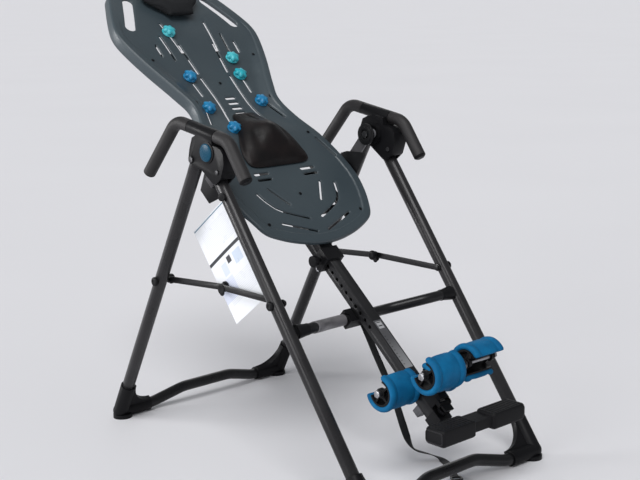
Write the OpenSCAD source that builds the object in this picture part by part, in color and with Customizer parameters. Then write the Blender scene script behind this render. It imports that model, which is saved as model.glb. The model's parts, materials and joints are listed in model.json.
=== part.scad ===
/* [Floor frame] */
// Height of the table's pivots above the floor
pivot_h = 885; // [850:5:920]
// How far the pivots stand behind the middle of the object's footprint
pivot_y = -11.5; // [-30:0.5:30]
// Half the distance between the leg centre lines
leg_x = 327; // [315:1:345]
// Outer diameter of the leg and base tubes
leg_d = 38; // [34:1:42]
// Wall of every steel tube
tube_wall = 1.8; // [1.2:0.1:2.5]
// How far the front feet stand in front of the pivots
front_reach = 612; // [560:5:680]
// How far the rear feet stand behind the pivots
rear_reach = 510; // [460:5:580]
// Where the front legs' centre lines pass the pivot height, behind the pivots
front_leg_top = 15; // [0:1:25]
// Rise of the middle of the base tubes
base_arch = 34; // [15:1:50]
// Height of the crossbar's ends on the front legs
crossbar_h = 436; // [400:5:470]
// Diameter of the crossbar
crossbar_d = 25; // [20:1:30]

/* [Fold] */
// Distance of the fold pins behind the pivots
fold_back = 57; // [54:1:66]
// Drop of the fold pins below the pivots
fold_drop = 19; // [12:1:26]
// Radius of the fold pins
fold_pin_r = 5; // [4:0.5:7]
// Height of the spreader bolts above the crossbar's ends
spreader_rise = 69; // [55:1:100]
// Width of the spreader bars
spreader_w = 18; // [14:1:24]
// Thickness of the spreader bars
spreader_t = 4; // [3:0.5:5]

/* [Pivots and handles] */
// Thickness of the pivot housing's walls
housing_wall = 5; // [4:0.5:7]
// Radius of the pivot pins
pivot_pin_r = 9; // [7:0.5:11]
// Radius of the round collar on the housing's inner face
collar_r = 31; // [26:1:36]
// Outer diameter of the foam grips
grip_d = 37; // [33:1:42]
// Diameter of the handlebar tube
handlebar_d = 29; // [25:1:32]

/* [Table bed] */
// Rest angle of the bed above the horizontal
bed_tilt = 41; // [38:1:44]
// Distance of the bed's surface under the pivot line
seat_drop = 111; // [105:1:120]
// Thickness of the moulded shell
shell_t = 5; // [4:0.5:7]
// Depth of the shell's downturned rim along its sides and head
rim_h = 38; // [25:1:42]
// Depth of the rim at the seat end
rim_low = 12; // [10:1:20]
// How far the seat end curls down
seat_curl = 16; // [0:1:20]
// How far the head end curls down
head_curl = 12; // [0:1:20]
// Width of the long flex slots
slot_w = 7; // [5:0.5:9]
// Thickness of the head pillow
pillow_t = 34; // [25:1:45]
// Height of the lumbar bridge
lumbar_h = 52; // [35:1:65]

/* [Shaft and ankle clamp] */
// Side of the square main shaft
shaft_w = 38; // [34:1:42]
// Depth of the shaft's centre line under the pivot line
shaft_drop = 174; // [170:1:182]
// Distance of the shaft's lower end from the pivot line
shaft_end = 885; // [870:5:900]
// Radius of the ankle axles
axle_r = 7; // [6:0.5:9]
// Outer radius of the ankle cup foam
cup_r = 53; // [48:1:56]
// Thickness of the ankle cup foam
cup_foam = 17; // [12:1:20]
// Angle of the opening in each ankle cup
cup_open = 110; // [90:5:130]
// Half the width across the ankle cups
cup_reach = 137; // [130:1:145]
// Half the width of the foot platform
platform_half = 163; // [145:1:170]
// Depth of the platform's foot pads, front to back
pad_d = 66; // [56:1:76]
// Height of the foot pads
pad_h = 44; // [36:1:50]

/* [Hidden] */
$fn = 48;

// Clearances
slip = 0.3;
running = 0.05;

// Floor frame: each pair of legs and its base tube lie in one leaning plane
foot_z = leg_d / 2 + 4;
front_lean = atan((front_reach + front_leg_top) / (pivot_h - foot_z));
rear_lean = atan((rear_reach - fold_back) / (pivot_h - fold_drop - foot_z));
front_len = (pivot_h - foot_z) / cos(front_lean) + 8;
rear_len = (pivot_h - fold_drop - foot_z) / cos(rear_lean);
boot_len = 105;
boot_r = leg_d / 2 + 4;
boot_gap = 30;
sole_in = 7;
base_half = leg_x - boot_gap;
spreader_h = crossbar_h + spreader_rise;

// Main shaft, sleeve and ankle stations, in the bed's frame
sleeve_w = shaft_w + 8;
sleeve_lo = -322;
sleeve_hi = 30;
shaft_top = 60;
rear_axle_y = -752;
front_axle_y = -818;
front_axle_z = -4;
post_w = 24;
rail_x = 148;
rail_d = 25;
rail_lo = -190;
rail_hi = 610;
RAIL_POSTS = [-170, 40, 300, 560];
CROSS_TUBES = [-150, 520];
rail_z = -seat_drop - shell_t - rail_d / 2 - 15;
hanger_z = -seat_drop - rim_h - 14;
pin_y = -300;
pin_r = 5;
hole_pitch = 25;
stem_w = 24;
platform_t = -959;
platform_n = -70;
pad_in = 34;
arm_plate_t = 11;
dial_y = -868;

// Crossbar: its ends sit on the legs, and its middle is bowed back under the shaft
bumper_t = 6;
bow_drop = 20;
collar_cone = 34;
collar_sleeve = 10;
bow_start = 222;
bow_end = 112;
crossbar_y = -front_reach + (crossbar_h - foot_z) * tan(front_lean);
function bed_n(y, z) = -sin(bed_tilt) * y + cos(bed_tilt) * (z - pivot_h);
function bed_t(y, z) = cos(bed_tilt) * y + sin(bed_tilt) * (z - pivot_h);
crossbar_n = -shaft_drop - shaft_w / 2 - slip - bumper_t - crossbar_d / 2;
bow = (bed_n(crossbar_y, crossbar_h) - crossbar_n)
  / (sin(bed_tilt) * cos(bow_drop) + cos(bed_tilt) * sin(bow_drop));
bow_y = crossbar_y + bow * cos(bow_drop);
bow_z = crossbar_h - bow * sin(bow_drop);
crossbar_t = bed_t(bow_y, bow_z);

// Pivot housing, from the middle of the table outwards
housing_in = leg_x - leg_d / 2 - 1 - housing_wall;
housing_out = leg_x + leg_d / 2 + 1 + housing_wall;
collar_t = 11;
arm_x = housing_in - collar_t - 16;
arm_t = 7;
arm_w = 36;
hub_r = 33;
hub_t = 6;
badge_r = 25;
badge_at = [-14, 6];
HOUSING = [
  [70, -14], [64, 12], [52, 42], [30, 52], [0, 56], [-35, 51], [-36, 27], [-60, 24], [-74, 18], [-84, 6],
  [-86, -22], [-72, -60], [-48, -80], [-34, -76], [18, -40], [52, -36], [66, -30]
];
HOUSING_HOLLOW = [
  [100, 4], [44, 4], [44, 33], [-30, 33], [-31, 21], [-58, 18], [-70, 12], [-78, 2],
  [-80, -20], [-67, -58], [-67, -120], [100, -120]
];

// Handlebar centre line, seen from the side, and how far the grips run past its bends
HANDLE = [[283, -78], [142, 80], [-88, 41], [-158, -58]];
handle_bend = 58;
handle_x = leg_x + 8;
handle_way = unit(HANDLE[1] - HANDLE[2]);
rear_grip_past = 64;
front_grip_past = 48;

// Spreader bolts, on the legs' centre lines
spreader_x = leg_x - leg_d / 2 - 3 - spreader_t;
spread_front = -front_reach + (spreader_h - foot_z) * tan(front_lean);
spread_rear_h = spreader_h - 20;
spread_rear = rear_reach - (spread_rear_h - foot_z) * tan(rear_lean);
spread_mid_y = 0;
spread_mid_h = spreader_h;

// Bed outline: half widths along the bed, from the seat end to the head end
OUTLINE = [
  [0, -272], [100, -254], [158, -230], [200, -197], [236, -150], [255, -60], [250, 30], [226, 122], [186, 205],
  [168, 282], [188, 350], [230, 455], [260, 550], [266, 605], [252, 660], [216, 745], [184, 800],
  [120, 826], [0, 832]
];
bed_lo = -272;
bed_hi = 832;
curl_seat_from = -120;
curl_head_from = 560;
rim_from = -165;
rim_to = -60;
function rim_share(y) = let (u = min(1, max(0, (y - rim_from) / (rim_to - rim_from)))) u * u * (3 - 2 * u);
function bed_z(y) = -seat_drop
  - seat_curl * pow(max(0, (curl_seat_from - y) / (curl_seat_from - bed_lo)), 2)
  - head_curl * pow(max(0, (y - curl_head_from) / (bed_hi - curl_head_from)), 2);

// Flex slots of one half of the bed: start x, y, end x, y
SLOTS = [
  [72, 515, 72, 640], [114, 478, 118, 588], [152, 503, 160, 550],
  [34, 262, 34, 393], [82, 185, 86, 400], [116, 332, 118, 388], [120, 262, 146, 200],
  [66, -4, 112, -4], [66, -26, 112, -26],
  [101, -62, 62, -127], [151, -76, 136, -112], [136, -112, 106, -147], [106, -147, 25, -186],
  [129, -190, 22, -232], [200, 105, 226, 25]
];
hand_hold = [150, 742, 200, 632];
hand_hold_w = 34;
CENTRE_SLOTS = [260, 275, 290, 305];
NODE_SPOTS = [[-78, 595], [-116, 405], [-125, 264], [-87, 172], [95, 470], [79, 398], [86, 277]];
SCREWS = [[196, 488], [183, 131], [178, -186], [0, -95], [0, 370]];

// Head pillow: where its corners' centres lie, and how far it stands off the curved bed
PILLOW = [[38, 668], [98, 742], [78, 792]];
pillow_lift = 2.5;

// Lumbar bridge: its feet and its crest
LUMBAR_FEET = [[108, 26], [40, 226]];
LUMBAR_CREST = [[84, 90], [50, 165]];

// Instruction card: the peg it hangs from and its hole, seen from the side, its size and how far it hangs askew
card_x = leg_x - leg_d / 2 - 22;
card_peg = [-24, -58];
card_peg_r = 3;
card_hang = [-10, -131];
card_edge = 8;
card_w = 200;
card_h = 304;
card_t = 1.2;
card_tilt = 38;

// Tether strap, from under the crossbar's bumper to its clip on the floor: width, thickness and middle line
strap_w = 25;
strap_t = 2.4;
clip_w = 34;
clip_len = 26;
clip_t = 5;
STRAP = [
  [30, -217, 389], [30, -227, 374], [30, -240, 354], [30, -254, 332], [30, -272, 303], [30, -292, 273],
  [30, -314, 240], [30, -336, 205], [29, -358, 168], [27, -378, 130], [24, -396, 100], [23, -409, 78],
  [27, -419, 61], [36, -426, 49], [51, -431, 41], [70, -434, 33], [90, -435, 23], [108, -438, 12],
  [118, -446, 5], [119, -458, 1.8], [112, -474, 1.7], [101, -491, 1.7], [88, -508, 1.7], [75, -525, 1.7],
  [63, -542, 1.7], [53, -559, 1.7]
];

// ---------- shared shapes ----------

module in_frame() {
  translate([0, pivot_y, 0]) children();
}

module at_pivot() {
  translate([0, pivot_y, pivot_h]) children();
}

// The bed's frame: x across, y towards the head, z out of the bed's surface
module on_bed() {
  at_pivot() rotate([bed_tilt, 0, 0]) children();
}

// The leaning planes of the legs: x across, y up the legs
module front_plane() {
  in_frame() translate([0, -front_reach, foot_z]) rotate([90 - front_lean, 0, 0]) children();
}

module rear_plane() {
  in_frame() translate([0, rear_reach, foot_z]) rotate([90 + rear_lean, 0, 0]) children();
}

// A flat path turned to stand in a side view, with path x along y and path y along z
module side_view(x) {
  translate([x, 0, 0]) rotate([90, 0, 90]) children();
}

module x_rod(r, x0, x1, fn = 48) {
  translate([min(x0, x1), 0, 0]) rotate([0, 90, 0]) cylinder(r = r, h = abs(x1 - x0), $fn = fn);
}

function unit(v) = v / norm(v);
function turn(u, v) = atan2(u[0] * v[1] - u[1] * v[0], u * v);
function lead(p, i, br) = (i == 0 || i == len(p) - 1) ? 0
  : br * tan(abs(turn(unit(p[i] - p[i - 1]), unit(p[i + 1] - p[i]))) / 2);

// Points and headings of a flat centre line: its straight ends, and arcs at its bends
function arc_at(p, i, br) = let (
  u = unit(p[i] - p[i - 1]),
  t = turn(u, unit(p[i + 1] - p[i])),
  a = p[i] - u * lead(p, i, br),
  c = a + (t > 0 ? 1 : -1) * br * [-u[1], u[0]],
  n = max(2, ceil(abs(t) / 9)),
  from = atan2(a[1] - c[1], a[0] - c[0])
) [for (k = [0 : n]) [c[0] + br * cos(from + t * k / n), c[1] + br * sin(from + t * k / n), heading(u) + t * k / n]];
function heading(v) = atan2(v[1], v[0]);
function route(p, br) = let (n = len(p) - 1) concat(
  [[p[0][0], p[0][1], heading(p[1] - p[0])]],
  [for (i = [1 : n - 1]) each arc_at(p, i, br)],
  [[p[n][0], p[n][1], heading(p[n] - p[n - 1])]]
);

// A bent tube, swept along flat points with bends of one radius
module tube_path(p, br, d, wall) {
  sides = 24;
  line = route(p, br);
  n = len(line);
  m = 2 * sides;
  pts = [
    for (q = line) for (r = [d / 2, d / 2 - wall]) for (k = [0 : sides - 1])
      let (w = 360 * k / sides) [q[0] - r * cos(w) * sin(q[2]), q[1] + r * cos(w) * cos(q[2]), r * sin(w)]
  ];
  skin = [
    for (i = [0 : n - 2]) for (k = [0 : sides - 1])
      let (k2 = (k + 1) % sides, a = i * m, b = a + m) each [
        [a + k, a + k2, b + k2, b + k],
        [a + sides + k, b + sides + k, b + sides + k2, a + sides + k2]
      ]
  ];
  ends = [
    for (k = [0 : sides - 1]) let (k2 = (k + 1) % sides, b = (n - 1) * m)
      each [[k, sides + k, sides + k2, k2], [b + k, b + k2, b + sides + k2, b + sides + k]]
  ];
  polyhedron(points = pts, faces = concat(skin, ends), convexity = 6);
}

// A slot with round ends, cut downwards through the shell
module slot_cut(s, w) {
  d = [s[2] - s[0], s[3] - s[1]];
  translate([s[0], s[1], -seat_drop - 60]) rotate([0, 0, atan2(d[1], d[0])]) {
    translate([0, -w / 2, 0]) cube([norm(d), w, 80]);
    cylinder(d = w, h = 80, $fn = 24);
    translate([norm(d), 0, 0]) cylinder(d = w, h = 80, $fn = 24);
  }
}

// A smooth closed curve through the outline's points
function spline(a, b, c, d, t) = 0.5 * ((2 * b) + (c - a) * t + (2 * a - 5 * b + 4 * c - d) * t * t
  + (3 * b - a - 3 * c + d) * t * t * t);
RING = concat(OUTLINE, [for (i = [len(OUTLINE) - 2 : -1 : 1]) [-OUTLINE[i][0], OUTLINE[i][1]]]);
function ring(i) = RING[(i + len(RING)) % len(RING)];
steps = 4;
SMOOTH = [
  for (i = [0 : len(RING) - 1]) for (k = [0 : steps - 1])
    spline(ring(i - 1), ring(i), ring(i + 1), ring(i + 2), k / steps)
];
function inset(p, e) = [
  for (i = [0 : len(p) - 1])
    let (a = p[(i + len(p) - 1) % len(p)], b = p[(i + 1) % len(p)], u = unit(b - a))
      p[i] + e * [-u[1], u[0]]
];

// The band between two offsets of the bed's curved surface; the lower one drops further past the seat
module bed_band(top, bottom, deeper = 0) {
  n = 40;
  ys = [for (k = [0 : n]) bed_lo - 20 + k * (bed_hi - bed_lo + 40) / n];
  rotate([90, 0, 90]) translate([0, 0, -300]) linear_extrude(600)
    polygon(concat(
      [for (y = ys) [y, bed_z(y) + top]],
      [for (i = [n : -1 : 0]) [ys[i], bed_z(ys[i]) + bottom - deeper * rim_share(ys[i])]]
    ));
}

module bed_column(e) {
  translate([0, 0, -seat_drop - 90]) linear_extrude(120) polygon(inset(SMOOTH, e));
}

// ---------- floor frame ----------

module leg(s, length) {
  translate([s * leg_x, boot_gap, 0]) rotate([-90, 0, 0]) difference() {
    cylinder(d = leg_d, h = length - boot_gap);
    translate([0, 0, -1]) cylinder(d = leg_d - 2 * tube_wall, h = length - boot_gap + 2);
  }
}

module front_leg(s) {
  color("#3b3a3e") front_plane() leg(s, front_len);
}

// A rear leg ends in a solid, drilled eye on the fold pin
eye_r = leg_d / 2 + 1.5;
module rear_leg(s) {
  color("#3b3a3e") difference() {
    union() {
      rear_plane() leg(s, rear_len - leg_d);
      rear_plane() translate([s * leg_x, rear_len, 0]) rotate([90, 0, 0])
        cylinder(d = leg_d + 1, h = leg_d + 10);
      in_frame() translate([s * leg_x, fold_back, pivot_h - fold_drop]) x_rod(eye_r, -leg_d / 2, leg_d / 2);
    }
    in_frame() translate([s * leg_x, fold_back, pivot_h - fold_drop])
      x_rod(fold_pin_r + running, -leg_d, leg_d);
  }
}

BASE = [
  [-base_half, 0], [-205, 0], [-95, base_arch], [95, base_arch], [205, 0], [base_half, 0]
];

module base_tube() {
  tube_path(BASE, 120, leg_d - 4, tube_wall);
}

// A moulded corner boot: a sleeve up the leg, a sleeve along the base, a web and a flat sole
module boot(s, lean) {
  difference() {
    union() {
      translate([s * leg_x, -4, 0]) rotate([-90, 0, 0]) cylinder(r = boot_r, h = boot_len + 4);
      translate([s * leg_x, 0, 0]) sphere(r = boot_r + 1);
      translate([s * leg_x, 0, 0]) x_rod(boot_r - 1, 0, -s * boot_len);
      translate([s * leg_x, 0, 0]) scale([s, 1, 1]) translate([0, 0, -9]) linear_extrude(18)
        difference() {
          polygon([[0, 0], [-boot_len, 0], [-boot_len, boot_r + 2], [-boot_r - 2, boot_len], [0, boot_len]]);
          translate([-boot_len, boot_len]) circle(r = boot_len - boot_r - 2);
        }
      rotate([lean - 90, 0, 0]) translate([s * (leg_x - sole_in), 0, -foot_z])
        cylinder(r = boot_r + sole_in, h = 12);
    }
    translate([s * leg_x, boot_gap - slip, 0]) rotate([-90, 0, 0]) cylinder(d = leg_d + slip, h = boot_len + 20);
    translate([s * (leg_x - boot_gap + slip), 0, 0]) x_rod(leg_d / 2 - 2 + slip / 2, 0, -s * (boot_len + 20));
    rotate([lean - 90, 0, 0]) translate([s * leg_x - 250, -250, -foot_z - 100]) cube([500, 500, 100]);
  }
}

module front_foot(s) {
  color("#151517") front_plane() boot(s, front_lean);
}

module rear_foot(s) {
  color("#151517") rear_plane() boot(s, -rear_lean);
}

module front_base() {
  color("#2c2b2f") front_plane() base_tube();
}

module rear_base() {
  color("#2c2b2f") rear_plane() base_tube();
}

// ---------- crossbar ----------

CROSSBAR = [
  [-leg_x + leg_d / 2 + 4, 0], [-bow_start, 0], [-bow_end, bow], [bow_end, bow], [bow_start, 0],
  [leg_x - leg_d / 2 - 4, 0]
];

module crossbar_plane() {
  in_frame() translate([0, crossbar_y, crossbar_h]) rotate([-bow_drop, 0, 0]) children();
}

module crossbar() {
  color("#77777c") crossbar_plane() tube_path(CROSSBAR, 90, crossbar_d, tube_wall);
}

// Flared sleeves that saddle the crossbar's ends on the legs
module crossbar_collars() {
  color("#19191b") for (s = [-1, 1]) crossbar_plane() difference() {
    union() {
      translate([s * (leg_x - leg_d / 2 - 4), 0, 0]) rotate([0, -s * 90, 0])
        cylinder(r1 = 21, r2 = crossbar_d / 2 + 4, h = collar_cone);
      translate([s * (leg_x - leg_d / 2 - 4 - collar_cone), 0, 0]) x_rod(crossbar_d / 2 + 4, 0, -s * collar_sleeve);
    }
    translate([s * (leg_x - leg_d / 2 - 3), 0, 0]) x_rod(crossbar_d / 2 + slip / 2, 0, -s * 90);
  }
}

module crossbar_bumper() {
  color("#101012") on_bed() difference() {
    translate([-48, crossbar_t - 21, crossbar_n - 19]) cube([96, 42, 19 + crossbar_d / 2 + bumper_t]);
    translate([0, crossbar_t, crossbar_n]) x_rod(crossbar_d / 2 + slip / 2, -60, 60);
    for (s = [-1, 1]) translate([s * 48, crossbar_t, crossbar_n - 19]) rotate([0, 0, 45])
      cube([16, 16, 100], center = true);
  }
}

// ---------- pivots ----------

// A round run along the handlebar's straight middle, short of its front and rear bends
module handle_run(front, rear, d) {
  length = norm(HANDLE[1] - HANDLE[2]) - front - rear;
  start = HANDLE[2] + front * handle_way;
  translate([start[0], start[1], 0]) rotate([0, 90, heading(handle_way)]) cylinder(d = d, h = length);
}

// A moulded shell over both leg tops, open underneath, with a round collar round the pivot. The left one
// has the peg that the instruction card hangs from
module pivot_housing(s) {
  color("#131315") difference() {
    union() {
      at_pivot() side_view(s > 0 ? housing_in : -housing_out) linear_extrude(housing_out - housing_in)
        polygon(HOUSING);
      at_pivot() x_rod(collar_r, s * (housing_in - collar_t), s * housing_in);
      at_pivot() translate([s * housing_out, badge_at[0], badge_at[1]]) x_rod(badge_r + 5, 0, s * 3);
      if (s < 0) at_pivot() translate([0, card_peg[0], card_peg[1]]) {
        x_rod(card_peg_r, -housing_in - 1, -card_x + 4);
        x_rod(card_peg_r + 2, -card_x + 3, -card_x + 5);
      }
      at_pivot() side_view(s * handle_x) handle_run(front_grip_past + 2, rear_grip_past + 2, grip_d);
    }
    at_pivot() side_view(s > 0 ? housing_in + housing_wall : -housing_out + housing_wall)
      linear_extrude(housing_out - housing_in - 2 * housing_wall) polygon(HOUSING_HOLLOW);
    at_pivot() x_rod(collar_r - 7, s * (housing_in - collar_t - 1), s * (housing_in - collar_t + 4));
    at_pivot() x_rod(pivot_pin_r + 5, s * (housing_in - collar_t - 1), s * (housing_in + housing_wall + 1));
    at_pivot() side_view(s * handle_x) handle_run(front_grip_past - 8, rear_grip_past - 8, handlebar_d + slip);
    in_frame() translate([s * leg_x, fold_back, pivot_h - fold_drop]) x_rod(fold_pin_r + slip, -60, 60);
    front_plane() translate([s * leg_x, front_len - 200, 0]) rotate([-90, 0, 0]) cylinder(d = leg_d + slip, h = 200 + slip);
  }
}

module pivot_cap(s) {
  color("#2b6ca8") at_pivot() translate([s * (housing_out + 3), badge_at[0], badge_at[1]]) rotate([0, s * 90, 0]) {
    cylinder(r = badge_r, h = 2.5);
    translate([0, 0, 2.5]) cylinder(r1 = badge_r, r2 = badge_r - 4, h = 1.5);
  }
}

module pivot_bushes() {
  color("#8a8a8e") for (s = [-1, 1]) at_pivot() difference() {
    x_rod(pivot_pin_r + 5 - 0.02, s * (housing_in - collar_t), s * (housing_in + housing_wall));
    x_rod(pivot_pin_r + running, s * (housing_in - collar_t - 1), s * (housing_in + housing_wall + 1));
  }
}

module handlebar(s) {
  color("#2e2e32") at_pivot() side_view(s * handle_x) tube_path(HANDLE, handle_bend, handlebar_d, tube_wall);
}

// Foam sleeves on both ends of a handlebar
module grips(s) {
  rear = [HANDLE[0], HANDLE[1], HANDLE[1] - rear_grip_past * handle_way];
  front = [HANDLE[2] + front_grip_past * handle_way, HANDLE[2], HANDLE[3]];
  color("#1d1d20") at_pivot() side_view(s * handle_x) {
    tube_path(rear, handle_bend, grip_d, (grip_d - handlebar_d) / 2 - slip / 2);
    tube_path(front, handle_bend, grip_d, (grip_d - handlebar_d) / 2 - slip / 2);
  }
}

module grip_end_caps() {
  a = unit(HANDLE[0] - HANDLE[1]);
  b = unit(HANDLE[3] - HANDLE[2]);
  color("#1b1b1e") for (s = [-1, 1]) for (e = [[HANDLE[0], a], [HANDLE[3], b]])
    at_pivot() side_view(s * handle_x) translate([e[0][0], e[0][1], 0])
      rotate([0, 90, atan2(e[1][1], e[1][0])]) {
        translate([0, 0, slip]) cylinder(r = grip_d / 2, h = 3);
        translate([0, 0, 3 + slip]) cylinder(r1 = grip_d / 2, r2 = grip_d / 2 - 6, h = 5);
        translate([0, 0, -14]) cylinder(d = handlebar_d - 2 * tube_wall - slip, h = 14 + slip);
      }
}

module fold_pins() {
  color("#b4b4b8") for (s = [-1, 1]) in_frame()
    translate([s * leg_x, fold_back, pivot_h - fold_drop]) {
      x_rod(fold_pin_r, -leg_d / 2 - 1 - housing_wall, leg_d / 2 + 1 + housing_wall);
      for (e = [-1, 1]) x_rod(10, e * (leg_d / 2 + 1 + housing_wall), e * (leg_d / 2 + housing_wall + 5), 6);
    }
}

// Through bolts that hold the housings to the front legs
bolt_up = [-58, -44];
module housing_bolts() {
  color("#a8a8ac") for (s = [-1, 1]) at_pivot() translate([0, bolt_up[0], bolt_up[1]]) {
    x_rod(7, s * housing_out, s * (housing_out + 4), 6);
    x_rod(7, s * housing_in, s * (housing_in - 4), 6);
  }
}

// Small round knob that locks the front left leg
module leg_knob() {
  color("#111113") front_plane() translate([-leg_x, front_len - 150, 0]) rotate([0, -70, 0]) {
    translate([0, 0, leg_d / 2 + slip]) cylinder(r = 5, h = 4);
    translate([0, 0, leg_d / 2 + 4 + slip]) cylinder(r = 11, h = 7);
  }
}

// ---------- fold and spreaders ----------

module spreader_bolts() {
  color("#1a1a1c") for (s = [-1, 1]) in_frame() translate([0, spread_front, spreader_h]) {
    x_rod(4, s * (leg_x - leg_d / 2 - 0.3), s * (spreader_x - 1));
    x_rod(8, s * (spreader_x - 0.6), s * (spreader_x - 5));
  }
}

// One flat bar between two points of the side view, with a drilled eye at its first point
module bar(a, b, x0, x1, hole_a, hole_b) {
  u = unit(b - a);
  in_frame() side_view(min(x0, x1)) linear_extrude(abs(x1 - x0)) difference() {
    union() {
      translate([a[0], a[1]]) circle(d = spreader_w + 4);
      translate([b[0], b[1]]) circle(d = spreader_w + 4);
      translate([a[0], a[1]]) rotate([0, 0, atan2(u[1], u[0])]) translate([0, -spreader_w / 2])
        square([norm(b - a), spreader_w]);
    }
    if (hole_a > 0) translate([a[0], a[1]]) circle(r = hole_a);
    if (hole_b > 0) translate([b[0], b[1]]) circle(r = hole_b);
  }
}

front_eye = [spread_front, spreader_h];
mid_eye = [spread_mid_y, spread_mid_h];
rear_eye = [spread_rear, spread_rear_h];

// The front bar carries the outer half of the middle rivet and the finger tab under it
module front_spreader(s) {
  color("#17171a") {
    bar(front_eye, mid_eye, s * spreader_x, s * (spreader_x + spreader_t), 4 + running, 0);
    in_frame() translate([0, mid_eye[0], mid_eye[1]])
      x_rod(7, s * (spreader_x + spreader_t), s * (spreader_x + spreader_t + 2));
    in_frame() side_view(s > 0 ? spreader_x : -spreader_x - spreader_t) translate([mid_eye[0], mid_eye[1] - 16])
      linear_extrude(spreader_t) union() {
        translate([-9, 0]) square([18, 12]);
        circle(r = 9);
      }
  }
}

module rear_spreader(s) {
  color("#17171a") {
    bar(mid_eye, rear_eye, s * (spreader_x - 0.4), s * (spreader_x - spreader_t - 0.4), 0, 0);
    in_frame() translate([0, mid_eye[0], mid_eye[1]])
      x_rod(8, s * (spreader_x - spreader_t - 0.4), s * (spreader_x - spreader_t - 4));
    in_frame() translate([0, rear_eye[0], rear_eye[1]]) {
      x_rod(4, s * (spreader_x - 0.4), s * (leg_x - leg_d / 2 - 0.4));
      x_rod(8, s * (spreader_x - spreader_t - 0.4), s * (spreader_x - spreader_t - 4));
    }
  }
}

// ---------- card and strap ----------

// One side of the card's loop: round the peg at radius r, then straight down to the card's hole
loop_way = unit(card_hang - card_peg);
loop_side = [-loop_way[1], loop_way[0]];
function loop_line(r, tip) = concat(
  [for (a = [0 : 15 : 180]) card_peg + r * (cos(a) * loop_side - sin(a) * loop_way)],
  [card_hang - tip * loop_side, card_hang + tip * loop_side]
);

// A rectangular card that hangs by one corner on a flat loop from the peg on the left housing
module instruction_card() {
  cord_t = 1.6;
  color("#e8eaee") at_pivot() {
    translate([0, card_hang[0], card_hang[1]]) side_view(-card_x) rotate([0, 0, -card_tilt])
      translate([-card_edge, card_edge - card_h]) linear_extrude(card_t) difference() {
        square([card_w, card_h]);
        translate([card_edge, card_h - card_edge]) circle(r = 3);
      }
    side_view(-card_x - cord_t) linear_extrude(cord_t) difference() {
      polygon(loop_line(card_peg_r + slip + cord_t, 3));
      translate(-2 * loop_way) polygon(loop_line(card_peg_r + slip, 0.8));
    }
    translate([0, card_hang[0], card_hang[1]]) {
      x_rod(2.2, -card_x - 0.5, -card_x + card_t + 0.4);
      x_rod(4, -card_x + card_t, -card_x + card_t + 2);
    }
  }
}

function tangent(p, i) = unit(p[min(i + 1, len(p) - 1)] - p[max(i - 1, 0)]);

// The strap is swept as one strip whose width stays level
module strip(p, w, t) {
  n = len(p);
  pts = [
    for (i = [0 : n - 1]) let (u = tangent(p, i), a = unit([-u[1], u[0], 0]), b = cross(u, a))
      for (c = [[-1, -1], [1, -1], [1, 1], [-1, 1]]) p[i] + c[0] * w / 2 * a + c[1] * t / 2 * b
  ];
  sides = [
    for (i = [0 : n - 2]) for (k = [0 : 3])
      [4 * i + k, 4 * i + 4 + k, 4 * i + 4 + (k + 1) % 4, 4 * i + (k + 1) % 4]
  ];
  polyhedron(points = pts, faces = concat([[0, 1, 2, 3]], sides, [[4 * n - 1, 4 * n - 2, 4 * n - 3, 4 * n - 4]]));
}

// The strap, and the flat clip on its free end
module tether_strap() {
  end = STRAP[len(STRAP) - 1];
  way = unit(end - STRAP[len(STRAP) - 2]);
  color("#0d0d10") in_frame() {
    strip(STRAP, strap_w, strap_t);
    translate([end[0], end[1], slip]) rotate([0, 0, heading(way)]) translate([slip, -clip_w / 2, 0]) difference() {
      cube([clip_len, clip_w, clip_t]);
      translate([6, 5, -1]) cube([clip_len - 11, clip_w - 10, clip_t + 2]);
    }
  }
}

// ---------- bed ----------

module bed_shell() {
  color("#4b5a64") on_bed() difference() {
    intersection() {
      bed_column(0);
      bed_band(0, -rim_low, rim_h - rim_low);
    }
    intersection() {
      bed_column(shell_t);
      bed_band(-shell_t, -rim_h - 30);
    }
    for (s = SLOTS) {
      slot_cut(s, slot_w);
      slot_cut([-s[0], s[1], -s[2], s[3]], slot_w);
    }
    for (y = CENTRE_SLOTS) slot_cut([-11, y, 11, y], slot_w - 1);
    slot_cut(hand_hold, hand_hold_w);
    slot_cut([-hand_hold[0], hand_hold[1], -hand_hold[2], hand_hold[3]], hand_hold_w);
  }
}

// Two side rails, two cross tubes, stand-offs up to the shell, and the pivots' cross member
post_r = 9;
module bed_frame() {
  post_z = rail_z + rail_d / 2 - tube_wall;
  color("#1c1c1f") on_bed() {
    for (s = [-1, 1]) {
      translate([s * rail_x, rail_lo, rail_z]) rotate([-90, 0, 0]) difference() {
        cylinder(d = rail_d, h = rail_hi - rail_lo);
        translate([0, 0, -1]) cylinder(d = rail_d - 2 * tube_wall, h = rail_hi - rail_lo + 2);
      }
      for (y = RAIL_POSTS) translate([s * rail_x, y, post_z])
        cylinder(r = post_r, h = min(bed_z(y - post_r), bed_z(y + post_r)) - shell_t - slip - post_z);
      translate([0, 0, hanger_z]) x_rod(11.5, s * (sleeve_w / 2 + slip), s * (arm_x - arm_t - 6));
    }
    for (y = CROSS_TUBES) translate([0, y, rail_z]) difference() {
      x_rod(rail_d / 2 - 1, -rail_x, rail_x);
      if (y < sleeve_hi) translate([-sleeve_w / 2 - slip, -30, -30])
        cube([sleeve_w + 2 * slip, 60, 30 - shaft_drop + sleeve_w / 2 - rail_z + slip]);
    }
  }
}

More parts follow.
